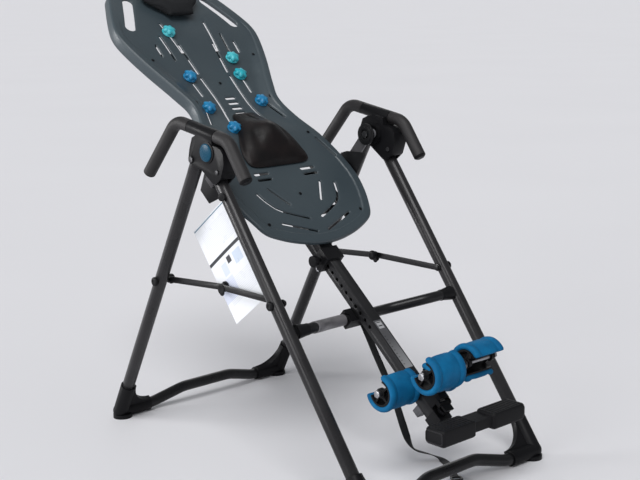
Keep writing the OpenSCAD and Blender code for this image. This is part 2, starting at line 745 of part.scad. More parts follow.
// Triangular plates between the pivot arms and the cross member, and the round hub covers on the arms
module pivot_brackets() {
  face = arm_x - arm_t;
  color("#161618") on_bed() for (s = [-1, 1]) {
    side_view(s > 0 ? face - 5.5 : -face + 0.5) linear_extrude(5) polygon([
      [40, -122], [26, -100], [-26, -52], [-38, -54], [-54, -134], [-32, hanger_z - 18], [20, hanger_z - 18]
    ]);
    difference() {
      union() {
        x_rod(hub_r, s * face, s * (face - hub_t));
        x_rod(hub_r - 8, s * (face - hub_t + 1), s * (face - hub_t - 3));
      }
      x_rod(15, s * (face + 1), s * (face - hub_t - 4));
    }
  }
}

module bed_screws() {
  color("#c4c6ca") on_bed() for (p = SCREWS) for (s = p[0] == 0 ? [1] : [-1, 1])
    translate([s * p[0], p[1], bed_z(p[1]) + slip]) cylinder(r = 5, h = 1.6, $fn = 24);
}

module pivot_arm(s) {
  color("#9a9a9e") on_bed() side_view(s > 0 ? arm_x - arm_t : -arm_x) linear_extrude(arm_t) difference() {
    union() {
      circle(r = arm_w / 2 + 4);
      translate([-arm_w / 2, -seat_drop - 20]) square([arm_w, seat_drop + 20]);
    }
    circle(r = pivot_pin_r);
  }
}

module pivot_pins() {
  color("#b9b9bd") for (s = [-1, 1]) on_bed() {
    x_rod(pivot_pin_r, s * (arm_x - arm_t - 2), s * (housing_in + housing_wall - 1));
    x_rod(14, s * arm_x, s * (arm_x + 12));
    x_rod(12, s * (arm_x - arm_t - hub_t - 4), s * (arm_x - arm_t), 6);
  }
}

module shaft_sleeve() {
  color("#1a1a1c") on_bed() difference() {
    translate([-sleeve_w / 2, sleeve_lo, -shaft_drop - sleeve_w / 2]) cube([sleeve_w, sleeve_hi - sleeve_lo, sleeve_w]);
    translate([-shaft_w / 2 - slip, sleeve_lo - 1, -shaft_drop - shaft_w / 2 - slip])
      cube([shaft_w + 2 * slip, sleeve_hi - sleeve_lo + 2, shaft_w + 2 * slip]);
    translate([0, pin_y, -shaft_drop]) x_rod(pin_r + 0.5, -60, 0);
  }
}

// Eye under the selector housing that the strap's clip hooks into
module strap_eye() {
  color("#a9a9ad") {
    on_bed() translate([0, pin_y, -shaft_drop - sleeve_w / 2 - 7 - slip]) {
      translate([-14, -7, -4]) cube([28, 14, 4]);
      translate([-16, 0, -12]) difference() {
        x_rod(9, 0, 32);
        x_rod(5, -1, 33);
        translate([2, -10, -10]) cube([28, 20, 20]);
      }
      translate([-16, 0, -19]) x_rod(2, 0, 32, 24);
    }
  }
}

module selector_housing() {
  color("#121214") on_bed() difference() {
    union() {
      translate([-sleeve_w / 2 - 9, pin_y - 21, -shaft_drop - sleeve_w / 2 - 7]) cube([sleeve_w + 18, 44, sleeve_w + 12]);
      translate([0, pin_y, -shaft_drop]) x_rod(14, -sleeve_w / 2 - 9, -sleeve_w / 2 - 12);
    }
    translate([-sleeve_w / 2 - slip, pin_y - 30, -shaft_drop - sleeve_w / 2 - slip])
      cube([sleeve_w + 2 * slip, 60, sleeve_w + 2 * slip]);
    translate([0, pin_y, -shaft_drop]) x_rod(pin_r + 0.3, -80, 0);
  }
}

module selector_pin() {
  color("#0f0f11") on_bed() translate([0, pin_y, -shaft_drop]) {
    x_rod(pin_r, -shaft_w / 2 - 0.7, -sleeve_w / 2 - 26);
    x_rod(17, -sleeve_w / 2 - 25, -sleeve_w / 2 - 39);
  }
}

module head_pillow() {
  color("#202225") on_bed() hull() for (c = PILLOW) for (s = [-1, 1])
    translate([s * c[0], c[1], bed_z(c[1]) + pillow_lift + pillow_t / 2]) sphere(r = pillow_t / 2, $fn = 24);
}

module lumbar_bridge() {
  color("#1b1c1e") on_bed() translate([0, 0, -seat_drop + 0.8]) hull() for (s = [-1, 1]) {
    for (c = LUMBAR_FEET) translate([s * c[0], c[1], 0]) cylinder(r1 = 10, r2 = 8, h = 10, $fn = 24);
    for (c = LUMBAR_CREST) translate([s * c[0], c[1], 0]) cylinder(r1 = 12, r2 = 8, h = lumbar_h, $fn = 24);
  }
}

module pressure_nodes() {
  color("#1f8fb4") on_bed() for (p = NODE_SPOTS) translate([p[0], p[1], -seat_drop + 0.4]) {
    cylinder(r = 15, h = 8, $fn = 32);
    translate([0, 0, 8]) cylinder(r1 = 15, r2 = 8, h = 12, $fn = 32);
  }
}

// ---------- shaft and ankle clamp ----------

module main_shaft() {
  holes = 16;
  color("#2a2a2d") on_bed() difference() {
    translate([-shaft_w / 2, -shaft_end, -shaft_drop - shaft_w / 2]) cube([shaft_w, shaft_end + shaft_top, shaft_w]);
    translate([-shaft_w / 2 + tube_wall, -shaft_end - 1, -shaft_drop - shaft_w / 2 + tube_wall])
      cube([shaft_w - 2 * tube_wall, shaft_end + shaft_top + 2, shaft_w - 2 * tube_wall]);
    for (k = [-5 : holes - 6]) translate([0, pin_y - hole_pitch * k, -shaft_drop]) x_rod(pin_r + 0.4, -30, 30, 24);
    translate([0, rear_axle_y, -shaft_drop]) x_rod(axle_r + 0.1, -30, 30);
    translate([-post_w / 2 - slip, front_axle_y - post_w / 2 - slip, -shaft_drop - 40])
      cube([post_w + 2 * slip, post_w + 2 * slip, 80]);
  }
}

module axle(y, z) {
  translate([0, y, z]) {
    x_rod(axle_r, -cup_reach - 6, cup_reach + 6);
    for (s = [-1, 1]) x_rod(11, s * (cup_reach + 1), s * (cup_reach + 8), 6);
  }
}

module rear_ankle_axle() {
  color("#a0a0a4") on_bed() axle(rear_axle_y, -shaft_drop);
}

module front_ankle_axle() {
  color("#a0a0a4") on_bed() axle(front_axle_y, front_axle_z);
}

// The ratchet housing that guides the clamp post on the shaft, with two ears for the lever
clamp_h = 44;
clamp_half = 22.5;
lever_y = front_axle_y - 38;
lever_z = -shaft_drop + shaft_w / 2 + 30;
lever_pin_r = 3;
lever_half = 16;
ear_t = 5.5;
module clamp_housing() {
  color("#141416") on_bed() difference() {
    union() {
      translate([-clamp_half, front_axle_y - 30, -shaft_drop + shaft_w / 2 + slip])
        cube([2 * clamp_half, 60, clamp_h]);
      for (s = [-1, 1]) translate([0, lever_y, lever_z]) {
        x_rod(7, s * (lever_half + 0.5), s * (lever_half + 0.5 + ear_t));
        translate([s * (lever_half + 0.5 + ear_t / 2) - ear_t / 2, 0, -7]) cube([ear_t, 10, 14]);
      }
    }
    translate([0, lever_y, lever_z]) x_rod(lever_pin_r + running, -30, 30);
    translate([-post_w / 2 - slip, front_axle_y - post_w / 2 - slip, -shaft_drop])
      cube([post_w + 2 * slip, post_w + 2 * slip, 200]);
    for (s = [-1, 1]) translate([s * clamp_half, front_axle_y, -shaft_drop + shaft_w / 2 + clamp_h])
      rotate([0, 45, 0]) cube([10, 80, 10], center = true);
  }
}

// A toothed post that carries the front cups
module clamp_post() {
  lo = -shaft_drop - shaft_w / 2 - 34;
  hi = front_axle_z + 16;
  color("#8d8d91") on_bed() difference() {
    union() {
      translate([-post_w / 2, front_axle_y - post_w / 2, lo]) cube([post_w, post_w, hi - lo]);
      translate([0, front_axle_y, front_axle_z]) x_rod(16, -17, 17);
    }
    translate([0, front_axle_y, front_axle_z]) x_rod(axle_r + 0.1, -40, 40);
    for (k = [0 : 9]) translate([0, front_axle_y - post_w / 2, -shaft_drop + 8 + 8 * k]) rotate([45, 0, 0])
      cube([post_w + 2, 4, 4], center = true);
  }
}

module clamp_lever() {
  color("#0f0f11") on_bed() translate([0, lever_y, lever_z]) {
    x_rod(6, -lever_half, lever_half);
    x_rod(lever_pin_r, -lever_half - ear_t, lever_half + ear_t);
    translate([-lever_half, -26, -3]) cube([2 * lever_half, 26, 7]);
  }
}

// End cap over the shaft, with a square bore in its end wall for the platform's stem
module shaft_foot() {
  color("#17171a") on_bed() difference() {
    translate([-24, -shaft_end - 6, -shaft_drop - 24]) cube([48, 36, 48]);
    translate([-shaft_w / 2 - slip, -shaft_end - slip, -shaft_drop - shaft_w / 2 - slip])
      cube([shaft_w + 2 * slip, 60, shaft_w + 2 * slip]);
    translate([-stem_w / 2 - slip, -shaft_end - 20, -shaft_drop - stem_w / 2 - slip])
      cube([stem_w + 2 * slip, 80, stem_w + 2 * slip]);
  }
}

// Knurled dial on the shaft that raises and lowers the foot platform
module height_dial() {
  color("#202022") on_bed() translate([0, dial_y, -shaft_drop + shaft_w / 2 + 5 + slip]) difference() {
    union() {
      cylinder(r = 12, h = 4);
      translate([0, 0, 4]) cylinder(r = 17, h = 11);
    }
    for (k = [0 : 11]) rotate([0, 0, 30 * k]) translate([18, 0, 4]) cylinder(r = 2.5, h = 14, $fn = 16);
  }
}

// A cup: foam C round a plastic liner with two ribbed hubs on the axle
module cup(y, z, s, face) {
  x0 = s > 0 ? 24 : -cup_reach + 1;
  len = cup_reach - 25;
  gap = cup_open / 2;
  on_bed() translate([x0, y, z]) rotate([face, 0, 0]) rotate([90, 0, 90]) {
    color("#1478b8") rotate([0, 0, gap]) rotate_extrude(angle = 360 - cup_open)
      polygon([
        [cup_r - cup_foam, 5], [cup_r - cup_foam + 5, 0], [cup_r - 6, 0], [cup_r - 1, 4], [cup_r, 10],
        [cup_r - 2, 17], [cup_r - 4.5, 23], [cup_r - 2.5, 34], [cup_r - 1.5, len / 2],
        [cup_r - 2.5, len - 34], [cup_r - 4.5, len - 23], [cup_r - 2, len - 17], [cup_r, len - 10],
        [cup_r - 1, len - 4], [cup_r - 6, len], [cup_r - cup_foam + 5, len], [cup_r - cup_foam, len - 5]
      ]);
    color("#121214") rotate([0, 0, gap + 6]) rotate_extrude(angle = 348 - cup_open)
      translate([cup_r - cup_foam - 4, 3]) square([5, len - 6]);
    color("#121214") for (k = [4, len - 16]) translate([0, 0, k]) difference() {
      union() {
        cylinder(r = axle_r + 7, h = 12);
        for (a = [100, 180, 260]) rotate([0, 0, a]) translate([0, -3, 0.5]) cube([cup_r - cup_foam - 2, 6, 11]);
      }
      translate([0, 0, -1]) cylinder(r = axle_r + running, h = 14);
    }
  }
}

// Two foot pads on a bridge, level when the bed is at rest, with the arm and stem that carry them
module foot_platform() {
  c = on_floor(platform_t, platform_n);
  color("#1a1a1c") {
    in_frame() translate([0, c[0], c[1]]) {
      for (s = [-1, 1]) hull() for (x = [s * (pad_in + 10), s * (platform_half - 10)])
        for (y = [10 - pad_d / 2, pad_d / 2 - 10]) translate([x, y, 0]) {
          cylinder(r = 10, h = pad_h - 10, center = true, $fn = 24);
          cylinder(r = 6, h = pad_h, center = true, $fn = 24);
        }
      translate([-pad_in - 4, -24, -14]) cube([2 * pad_in + 8, 58, 28]);
    }
    on_bed() {
      translate([-20, platform_t + 23, -shaft_drop - 16])
        cube([40, arm_plate_t, platform_n + shaft_drop + 16 - 12]);
      translate([-stem_w / 2, platform_t + 29, -shaft_drop - stem_w / 2]) cube([stem_w, 80, stem_w]);
    }
  }
}

function on_floor(t, n) = [cos(bed_tilt) * t - sin(bed_tilt) * n, pivot_h + sin(bed_tilt) * t + cos(bed_tilt) * n];

front_leg(-1);  // front_left_leg
front_leg(1);  // front_right_leg
front_base();  // front_base_tube
front_foot(-1);  // front_left_foot
front_foot(1);  // front_right_foot
crossbar();
crossbar_collars();
crossbar_bumper();
pivot_housing(-1);  // left_pivot_housing
pivot_housing(1);  // right_pivot_housing
pivot_cap(-1);  // left_pivot_cap
pivot_cap(1);  // right_pivot_cap
pivot_bushes();
handlebar(-1);  // left_handlebar
handlebar(1);  // right_handlebar
grips(-1);  // left_grips
grips(1);  // right_grips
grip_end_caps();
fold_pins();
housing_bolts();
leg_knob();
spreader_bolts();
instruction_card();
tether_strap();
rear_leg(-1);  // rear_left_leg
rear_leg(1);  // rear_right_leg
rear_base();  // rear_base_tube
rear_foot(-1);  // rear_left_foot
rear_foot(1);  // rear_right_foot
front_spreader(-1);  // left_front_spreader
rear_spreader(-1);  // left_rear_spreader
front_spreader(1);  // right_front_spreader
rear_spreader(1);  // right_rear_spreader
bed_shell();
bed_frame();
pivot_arm(-1);  // left_pivot_arm
pivot_arm(1);  // right_pivot_arm
pivot_pins();
shaft_sleeve();
selector_housing();
strap_eye();
pivot_brackets();
bed_screws();
head_pillow();
lumbar_bridge();
pressure_nodes();
selector_pin();
main_shaft();
rear_ankle_axle();
clamp_housing();
shaft_foot();
clamp_post();
front_ankle_axle();
clamp_lever();
cup(rear_axle_y, -shaft_drop, -1, 0);  // rear_left_cup
cup(rear_axle_y, -shaft_drop, 1, 0);  // rear_right_cup
cup(front_axle_y, front_axle_z, -1, 0);  // front_left_cup
cup(front_axle_y, front_axle_z, 1, 130);  // front_right_cup
height_dial();
foot_platform();
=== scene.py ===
import json
import math

import bmesh
import bpy
from mathutils import Matrix, Vector
from mathutils.geometry import delaunay_2d_cdt


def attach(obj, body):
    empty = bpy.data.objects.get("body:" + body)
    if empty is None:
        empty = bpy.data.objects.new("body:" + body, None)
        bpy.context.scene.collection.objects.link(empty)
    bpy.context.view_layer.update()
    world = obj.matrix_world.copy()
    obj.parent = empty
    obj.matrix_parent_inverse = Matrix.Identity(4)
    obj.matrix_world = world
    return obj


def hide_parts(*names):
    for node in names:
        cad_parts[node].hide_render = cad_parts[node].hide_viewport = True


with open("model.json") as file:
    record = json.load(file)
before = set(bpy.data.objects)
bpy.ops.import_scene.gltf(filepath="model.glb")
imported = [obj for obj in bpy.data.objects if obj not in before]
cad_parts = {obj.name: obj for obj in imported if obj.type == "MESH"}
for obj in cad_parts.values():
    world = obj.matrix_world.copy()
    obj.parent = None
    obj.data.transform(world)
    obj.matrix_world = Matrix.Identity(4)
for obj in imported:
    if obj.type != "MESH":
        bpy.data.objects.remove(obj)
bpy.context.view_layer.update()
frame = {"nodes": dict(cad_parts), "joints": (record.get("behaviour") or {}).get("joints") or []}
scene = bpy.context.scene
pivot = Vector(next(joint["pos_m"] for joint in frame["joints"] if joint["name"] == "bed_tilt"))


# The view. A standing person's view of the table from beyond its front left foot, through a long
# lens. Yaw turns the aim from +Y towards +X, pitch lowers it, and roll tips the camera sideways.
yaw, pitch, roll = math.radians(42.216), math.radians(11.469), math.radians(-0.795)
aim = Vector((math.sin(yaw) * math.cos(pitch), math.cos(yaw) * math.cos(pitch), -math.sin(pitch)))
level = Vector((math.cos(yaw), -math.sin(yaw), 0))
over = level.cross(aim)
right = math.cos(roll) * level + math.sin(roll) * over
up = math.cos(roll) * over - math.sin(roll) * level
stand = Vector((-2.4125, pivot.y - 2.7372, 1.3353))
camera = bpy.data.objects.new("camera", bpy.data.cameras.new("camera"))
camera.data.lens = 71.0
camera.data.sensor_width = 36
camera.data.clip_end = 900
camera.matrix_world = Matrix.Translation(stand) @ Matrix((right, up, -aim)).transposed().to_4x4()
scene.collection.objects.link(camera)
scene.camera = camera


# The tether strap. Black nylon webbing, 25 mm wide, sewn in under the crossbar's bumper. It hangs
# slack, lies on the floor in a loose bend, and ends in a moulded clip near the front base tube.
STRAP_ROUTE = [
    (30, -217, 389), (30, -227, 374), (30, -240, 354), (30, -254, 332), (30, -272, 303), (30, -292, 273),
    (30, -314, 240), (30, -336, 205), (29, -358, 168), (27, -378, 130), (24, -396, 100), (23, -409, 78),
    (27, -419, 61), (36, -426, 49), (51, -431, 41), (70, -434, 33), (90, -435, 23), (108, -438, 12),
    (118, -446, 5), (119, -458, 1.8), (112, -474, 1.7), (101, -491, 1.7), (88, -508, 1.7), (75, -525, 1.7),
    (63, -542, 1.7), (53, -559, 1.7),
]
strap_width = 0.025
strap_thick = 0.0022
clip_wide = 0.034
clip_long = 0.026
clip_thick = 0.005


class Wire:
    """A shader socket that Python's operators work on."""

    def __init__(self, tree, socket):
        self.tree, self.socket = tree, socket

    def sum(self, operation, *values):
        node = self.tree.nodes.new("ShaderNodeMath")
        node.operation = operation
        for slot, value in zip(node.inputs, values):
            plug(self.tree, slot, value)
        return Wire(self.tree, node.outputs[0])

    def __add__(self, other):
        return self.sum("ADD", self, other)

    def __radd__(self, other):
        return self.sum("ADD", other, self)

    def __sub__(self, other):
        return self.sum("SUBTRACT", self, other)

    def __rsub__(self, other):
        return self.sum("SUBTRACT", other, self)

    def __mul__(self, other):
        return self.sum("MULTIPLY", self, other)

    def __rmul__(self, other):
        return self.sum("MULTIPLY", other, self)

    def __pow__(self, other):
        return self.sum("POWER", self, other)


def plug(tree, slot, value):
    """Sets a socket to a number or colour, or links a Wire to it."""
    if isinstance(value, Wire):
        tree.links.new(value.socket, slot)
    elif isinstance(value, (tuple, list)) and len(value) == 3 and len(slot.default_value) == 4:
        slot.default_value = (*value, 1)
    else:
        slot.default_value = value


class Finish:
    """A material being built round one Principled shader, on Object coordinates."""

    def __init__(self, name, color, rough, metal=0.0, **fixed):
        self.mat = bpy.data.materials.new(name)
        self.mat.use_nodes = True
        self.tree = self.mat.node_tree
        self.shader = self.tree.nodes["Principled BSDF"]
        self.set("Base Color", color)
        self.set("Roughness", rough)
        self.set("Metallic", metal)
        for key, value in fixed.items():
            self.set(key.replace("_", " "), value)
        self.place = self.node("ShaderNodeTexCoord", out="Object")

    def node(self, kind, inputs=(), out=0, **settings):
        node = self.tree.nodes.new(kind)
        for key, value in settings.items():
            setattr(node, key, value)
        for key, value in dict(inputs).items():
            plug(self.tree, node.inputs[key], value)
        return Wire(self.tree, node.outputs[out])

    def set(self, socket, value):
        plug(self.tree, self.shader.inputs[socket], value)

    def noise(self, scale, detail=2.0, rough=0.5, at=None):
        place = at or self.place
        return self.node(
            "ShaderNodeTexNoise", {"Scale": scale, "Detail": detail, "Roughness": rough, "Vector": place}
        )

    def fit(self, value, low, high, to_low=0.0, to_high=1.0):
        """The value mapped from one span to another, and held inside it."""
        spans = {"Value": value, "From Min": low, "From Max": high, "To Min": to_low, "To Max": to_high}
        return self.node("ShaderNodeMapRange", spans)

    def mix(self, share, first, second, blend="MIX"):
        return self.node(
            "ShaderNodeMix", {0: share, 6: first, 7: second}, 2, data_type="RGBA", blend_type=blend
        )

    def split(self, vector):
        """The x, y and z of a vector."""
        node = self.tree.nodes.new("ShaderNodeSeparateXYZ")
        plug(self.tree, node.inputs[0], vector)
        return [Wire(self.tree, output) for output in node.outputs]

    def bump(self, height, depth, strength=1.0):
        self.set(
            "Normal", self.node("ShaderNodeBump",
            {"Height": height, "Distance": depth, "Strength": strength})
        )


def new_piece(name, verts, faces, finish=None, smooth=True):
    """A mesh object at the origin, with its vertices where they belong."""
    mesh = bpy.data.meshes.new(name)
    mesh.from_pydata([tuple(v) for v in verts], [], faces)
    mesh.validate()
    if smooth:
        mesh.shade_smooth()
    piece = bpy.data.objects.new(name, mesh)
    scene.collection.objects.link(piece)
    if finish:
        wear(piece, finish)
    return piece


def wear(piece, finish):
    """Gives a piece or a carried-over part one finish."""
    piece.data.materials.clear()
    piece.data.materials.append(finish.mat)


def face_out(piece, merge=0.0):
    """Merges doubled vertices and turns every face outwards."""
    work = bmesh.new()
    work.from_mesh(piece.data)
    if merge:
        bmesh.ops.remove_doubles(work, verts=work.verts, dist=merge)
    bmesh.ops.recalc_face_normals(work, faces=work.faces)
    work.to_mesh(piece.data)
    work.free()


def smooth_line(points, steps):
    """A smooth line through the points."""
    line = []
    for i in range(len(points) - 1):
        a, b = points[max(i - 1, 0)], points[i]
        c, d = points[i + 1], points[min(i + 2, len(points) - 1)]
        for k in range(steps):
            s = k / steps
            line.append(
                0.5 * (2 * b + (c - a) * s + (2 * a - 5 * b + 4 * c - d) * s**2 + (3 * b - a - 3 * c + d)
                * s**3)
            )
    return line + [points[-1]]


def strip(name, line, width, thick, finish):
    """Flat webbing with a level width, rounded edges and a UV map in metres, and its length."""
    section = [
        (-0.5, -0.2), (-0.47, -0.5), (0.47, -0.5), (0.5, -0.2), (0.5, 0.2), (0.47, 0.5), (-0.47, 0.5),
        (-0.5, 0.2)
    ]
    verts, runs, run = [], [], 0.0
    for i, point in enumerate(line):
        along = (line[min(i + 1, len(line) - 1)] - line[max(i - 1, 0)]).normalized()
        across = Vector((-along.y, along.x, 0)).normalized()
        out = along.cross(across)
        run += (line[i] - line[i - 1]).length if i else 0
        runs.append(run)
        verts += [point + across * width * a + out * thick * b for a, b in section]
    n, last = len(section), len(line) - 1
    faces = [
        (i * n + k, i * n + (k + 1) % n, (i + 1) * n + (k + 1) % n, (i + 1) * n + k)
        for i in range(last) for k in range(n)
    ]
    faces += [tuple(range(n))[::-1], tuple(last * n + k for k in range(n))]
    piece = new_piece(name, verts, faces, finish)
    uv = piece.data.uv_layers.new(name="run")
    for loop in piece.data.loops:
        i, k = divmod(loop.vertex_index, n)
        uv.data[loop.index].uv = (section[k][0] * width, runs[i])
    face_out(piece)
    return piece, run


def webbing_finish():
    """Nylon webbing: rows of crossing yarns on the strap's own run, with a soft sheen."""
    f = Finish("nylon_webbing", (0.008, 0.008, 0.009), 0.62, Specular_IOR_Level=0.4)
    run = f.node("ShaderNodeUVMap", uv_map="run")
    across, along, _ = f.split(run)
    warp = (across * 2600).sum("SINE", across * 2600)
    weft = (along * 3100 + (across * 1300).sum("SINE", across * 1300) * 1.6)
    weft = weft.sum("SINE", weft)
    yarn = warp * 0.35 + weft * 0.5
    f.set("Base Color", f.mix(f.fit(yarn, -0.8, 0.8), (0.004, 0.004, 0.005), (0.022, 0.022, 0.024)))
    f.set("Roughness", f.fit(f.noise(40), 0.3, 0.7, 0.52, 0.72))
    f.bump(yarn, 0.0003)
    return f


strap_finish = webbing_finish()
strap_points = [Vector((x / 1000, pivot.y + y / 1000, z / 1000)) for x, y, z in STRAP_ROUTE]
strap_line = smooth_line(strap_points, 4)
strap, strap_length = strip("strap_webbing", strap_line, strap_width, strap_thick, strap_finish)


def strap_clip():
    """A flat moulded ring on the strap's end, with a rounded rim."""
    way = (strap_points[-1] - strap_points[-2]).normalized()
    across = Vector((-way.y, way.x, 0))
    middle = strap_points[-1] + way * (clip_long / 2 + 0.0003)
    middle.z = 0.0003 + clip_thick / 2
    verts, faces = [], []
    section = [
        (1, -0.3), (0.85, -0.5), (0.35, -0.5), (0.2, -0.3), (0.2, 0.3), (0.35, 0.5), (0.85, 0.5), (1, 0.3)
    ]
    turns = 40
    for k in range(turns):
        a = math.tau * k / turns
        c = math.copysign(abs(math.cos(a)) ** 0.45, math.cos(a))
        d = math.copysign(abs(math.sin(a)) ** 0.45, math.sin(a))
        for out, high in section:
            reach = 1 - 0.42 * (1 - out)
            verts.append(
                middle + across * c * reach * clip_wide / 2 + way * d * reach * clip_long / 2
                + Vector((0, 0, high * clip_thick))
            )
    n = len(section)
    for k in range(turns):
        m = (k + 1) % turns
        faces += [(k * n + i, k * n + (i + 1) % n, m * n + (i + 1) % n, m * n + i) for i in range(n)]
    ring = new_piece("strap_clip", verts, faces, Finish("clip_moulding", (0.012, 0.012, 0.013), 0.35))
    face_out(ring)
    return ring


clip = strap_clip()
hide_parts("tether_strap")
for piece in (strap, clip):
    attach(piece, "front_frame")


# The studio. A pale seamless floor, one broad soft sun from the upper left, three weaker ones
# and an even sky. None of it is part of the table.
def studio_paper():
    f = Finish("studio_paper", (0.76, 0.757, 0.785), 0.95, Specular_IOR_Level=0.0)
    f.set("Base Color", f.mix(f.fit(f.noise(0.6), 0.3, 0.7), (0.755, 0.752, 0.780), (0.765, 0.762, 0.790)))
    return f


wide = 400
floor = new_piece(
    "studio_floor", [(-wide, -wide, 0), (wide, -wide, 0), (wide, wide, 0), (-wide, wide, 0)], [(0, 1, 2, 3)],
    studio_paper(),
)
world = bpy.data.worlds.new("studio")
scene.world = world
world.use_nodes = True
sky = world.node_tree
ray = sky.nodes.new("ShaderNodeLightPath")
seen = sky.nodes.new("ShaderNodeBackground")
seen.inputs["Color"].default_value = (0.712, 0.708, 0.742, 1)
lit = sky.nodes["Background"]
lit.inputs["Color"].default_value = (0.95, 0.97, 1.0, 1)
lit.inputs["Strength"].default_value = 0.28
pick = sky.nodes.new("ShaderNodeMixShader")
sky.links.new(ray.outputs["Is Camera Ray"], pick.inputs["Fac"])
sky.links.new(lit.outputs[0], pick.inputs[1])
sky.links.new(seen.outputs[0], pick.inputs[2])
sky.links.new(pick.outputs[0], sky.nodes["World Output"].inputs["Surface"])


def soft_light(name, way, strength, spread):
    """A broad, even light that falls one way over the whole floor."""
    lamp = bpy.data.objects.new(name, bpy.data.lights.new(name, "SUN"))
    lamp.data.energy = strength
    lamp.data.angle = math.radians(spread)
    lamp.rotation_euler = Vector(way).to_track_quat("-Z", "Y").to_euler()
    scene.collection.objects.link(lamp)


soft_light("key_light", (0.62, 0.42, -1.15), 1.85, 34)
soft_light("side_light", (1.0, 0.10, -0.22), 0.85, 30)
soft_light("window_light", (0.67, -0.74, -0.14), 1.5, 22)
soft_light("far_light", (-0.7, -0.8, -0.6), 0.25, 30)
scene.view_settings.view_transform = "Standard"


# The floor frame. Four 38 mm steel tubes with a 1.8 mm wall, powder coated charcoal, stand in two
# leaning pairs. A darker tube, arched up in its middle, joins the feet of each pair.
base_tube = 0.034
base_arch = 0.034
base_half = 0.297
foot_rise = 0.023


def powder_coat(name, dark, light, rough, metal=0.2):
    """Baked powder paint: a fine orange peel, tiny flakes and faint handling marks."""
    f = Finish(name, dark, rough, metal, Specular_IOR_Level=0.3)
    flake = f.fit(f.noise(2600, 1.0), 0.52, 0.72)
    broad = f.fit(f.noise(9, 3.0), 0.3, 0.75)
    f.set("Base Color", f.mix(flake * 0.55 + broad * 0.2, dark, light))
    f.set("Roughness", rough + broad * 0.08 - flake * 0.06)
    f.bump(f.noise(700, 2.0) + f.noise(2600, 1.0) * 0.3, 0.00012)
    return f


class Recipe:
    """A Geometry Nodes tree being written: named sizes, and one method for any node."""

    def __init__(self, name, **sizes):
        kinds = {float: "NodeSocketFloat", int: "NodeSocketInt", Vector: "NodeSocketVector"}
        self.tree = bpy.data.node_groups.new(name, "GeometryNodeTree")
        for way in ("INPUT", "OUTPUT"):
            self.tree.interface.new_socket("Geometry", in_out=way, socket_type="NodeSocketGeometry")
        self.keys = {}
        for size, value in sizes.items():
            socket = self.tree.interface.new_socket(size, in_out="INPUT", socket_type=kinds[type(value)])
            socket.default_value = value
            self.keys[size] = socket.identifier
        self.given = self.tree.nodes.new("NodeGroupInput").outputs
        self.end = self.tree.nodes.new("NodeGroupOutput")
        self.finish_node = self.tree.nodes.new("GeometryNodeSetMaterial")

    def node(self, kind, inputs=(), out=0, **settings):
        node = self.tree.nodes.new(kind)
        for key, value in settings.items():
            setattr(node, key, value)
        for key, value in dict(inputs).items():
            if isinstance(value, bpy.types.NodeSocket):
                self.tree.links.new(value, node.inputs[key])
            else:
                node.inputs[key].default_value = value
        return node.outputs[out]

    def close(self, geometry):
        """Ends the tree in Realize Instances and Set Material."""
        real = self.node("GeometryNodeRealizeInstances", {"Geometry": geometry})
        self.tree.links.new(real, self.finish_node.inputs["Geometry"])
        self.tree.links.new(self.finish_node.outputs[0], self.end.inputs[0])
        return self

    def make(self, name, finish, verts, edges=(), **sizes):
        """Runs the tree on some points and lines, and keeps the result as a plain mesh piece."""
        seed = bpy.data.meshes.new(name + "_seed")
        seed.from_pydata([tuple(v) for v in verts], list(edges), [])
        maker = bpy.data.objects.new(name + "_maker", seed)
        scene.collection.objects.link(maker)
        self.finish_node.inputs["Material"].default_value = finish.mat
        steps = maker.modifiers.new("recipe", "NODES")
        steps.node_group = self.tree
        for size, value in sizes.items():
            steps[self.keys[size]] = value
        piece = plain(name, maker)
        bpy.data.objects.remove(maker)
        if not piece.data.materials:
            wear(piece, finish)
        return piece


def plain(name, maker):
    """The maker's evaluated shape as a new mesh piece."""
    depsgraph = bpy.context.evaluated_depsgraph_get()
    depsgraph.update()
    mesh = bpy.data.meshes.new_from_object(maker.evaluated_get(depsgraph))
    mesh.name = name
    piece = bpy.data.objects.new(name, mesh)
    scene.collection.objects.link(piece)
    return piece


def bent_tube_recipe():
    """A round tube swept along a line, closed at both ends."""
    r = Recipe("bent_tube", Radius=0.0165, Sides=40)
    line = r.node("GeometryNodeMeshToCurve", {0: r.given["Geometry"]})
    ring = r.node(
        "GeometryNodeCurvePrimitiveCircle", {"Resolution": r.given["Sides"], "Radius": r.given["Radius"]}
    )
    skin = r.node("GeometryNodeCurveToMesh", {"Curve": line, "Profile Curve": ring, "Fill Caps": True})
    return r.close(r.node("GeometryNodeSetShadeSmooth", {"Geometry": skin}))


bent_tube = bent_tube_recipe()


def tube(name, line, radius, finish, sides=40):
    edges = [(i, i + 1) for i in range(len(line) - 1)]
    piece = bent_tube.make(name, finish, line, edges, Radius=radius, Sides=sides)
    face_out(piece, 1e-6)
    piece.data.set_sharp_from_angle(angle=math.radians(50))
    return piece


def bend(points, radius, step=4.0):
    """The points of a flat line with its corners turned into arcs."""
    line = [Vector(points[0])]
    for a, b, c in zip(points, points[1:], points[2:]):
        a, b, c = Vector(a), Vector(b), Vector(c)
        u, v = (b - a).normalized(), (c - b).normalized()
        turn = math.atan2(u.x * v.y - u.y * v.x, u.dot(v))
        reach = radius * math.tan(abs(turn) / 2)
        side = 1 if turn > 0 else -1
        hub = b - u * reach + side * radius * Vector((-u.y, u.x))
        first = b - u * reach - hub
        count = max(2, math.ceil(abs(math.degrees(turn)) / step))
        for k in range(count + 1):
            a1 = turn * k / count
            line.append(
                hub + Vector((first.x * math.cos(a1) - first.y * math.sin(a1),
                first.x * math.sin(a1) + first.y * math.cos(a1)))
            )
    return line + [Vector(points[-1])]


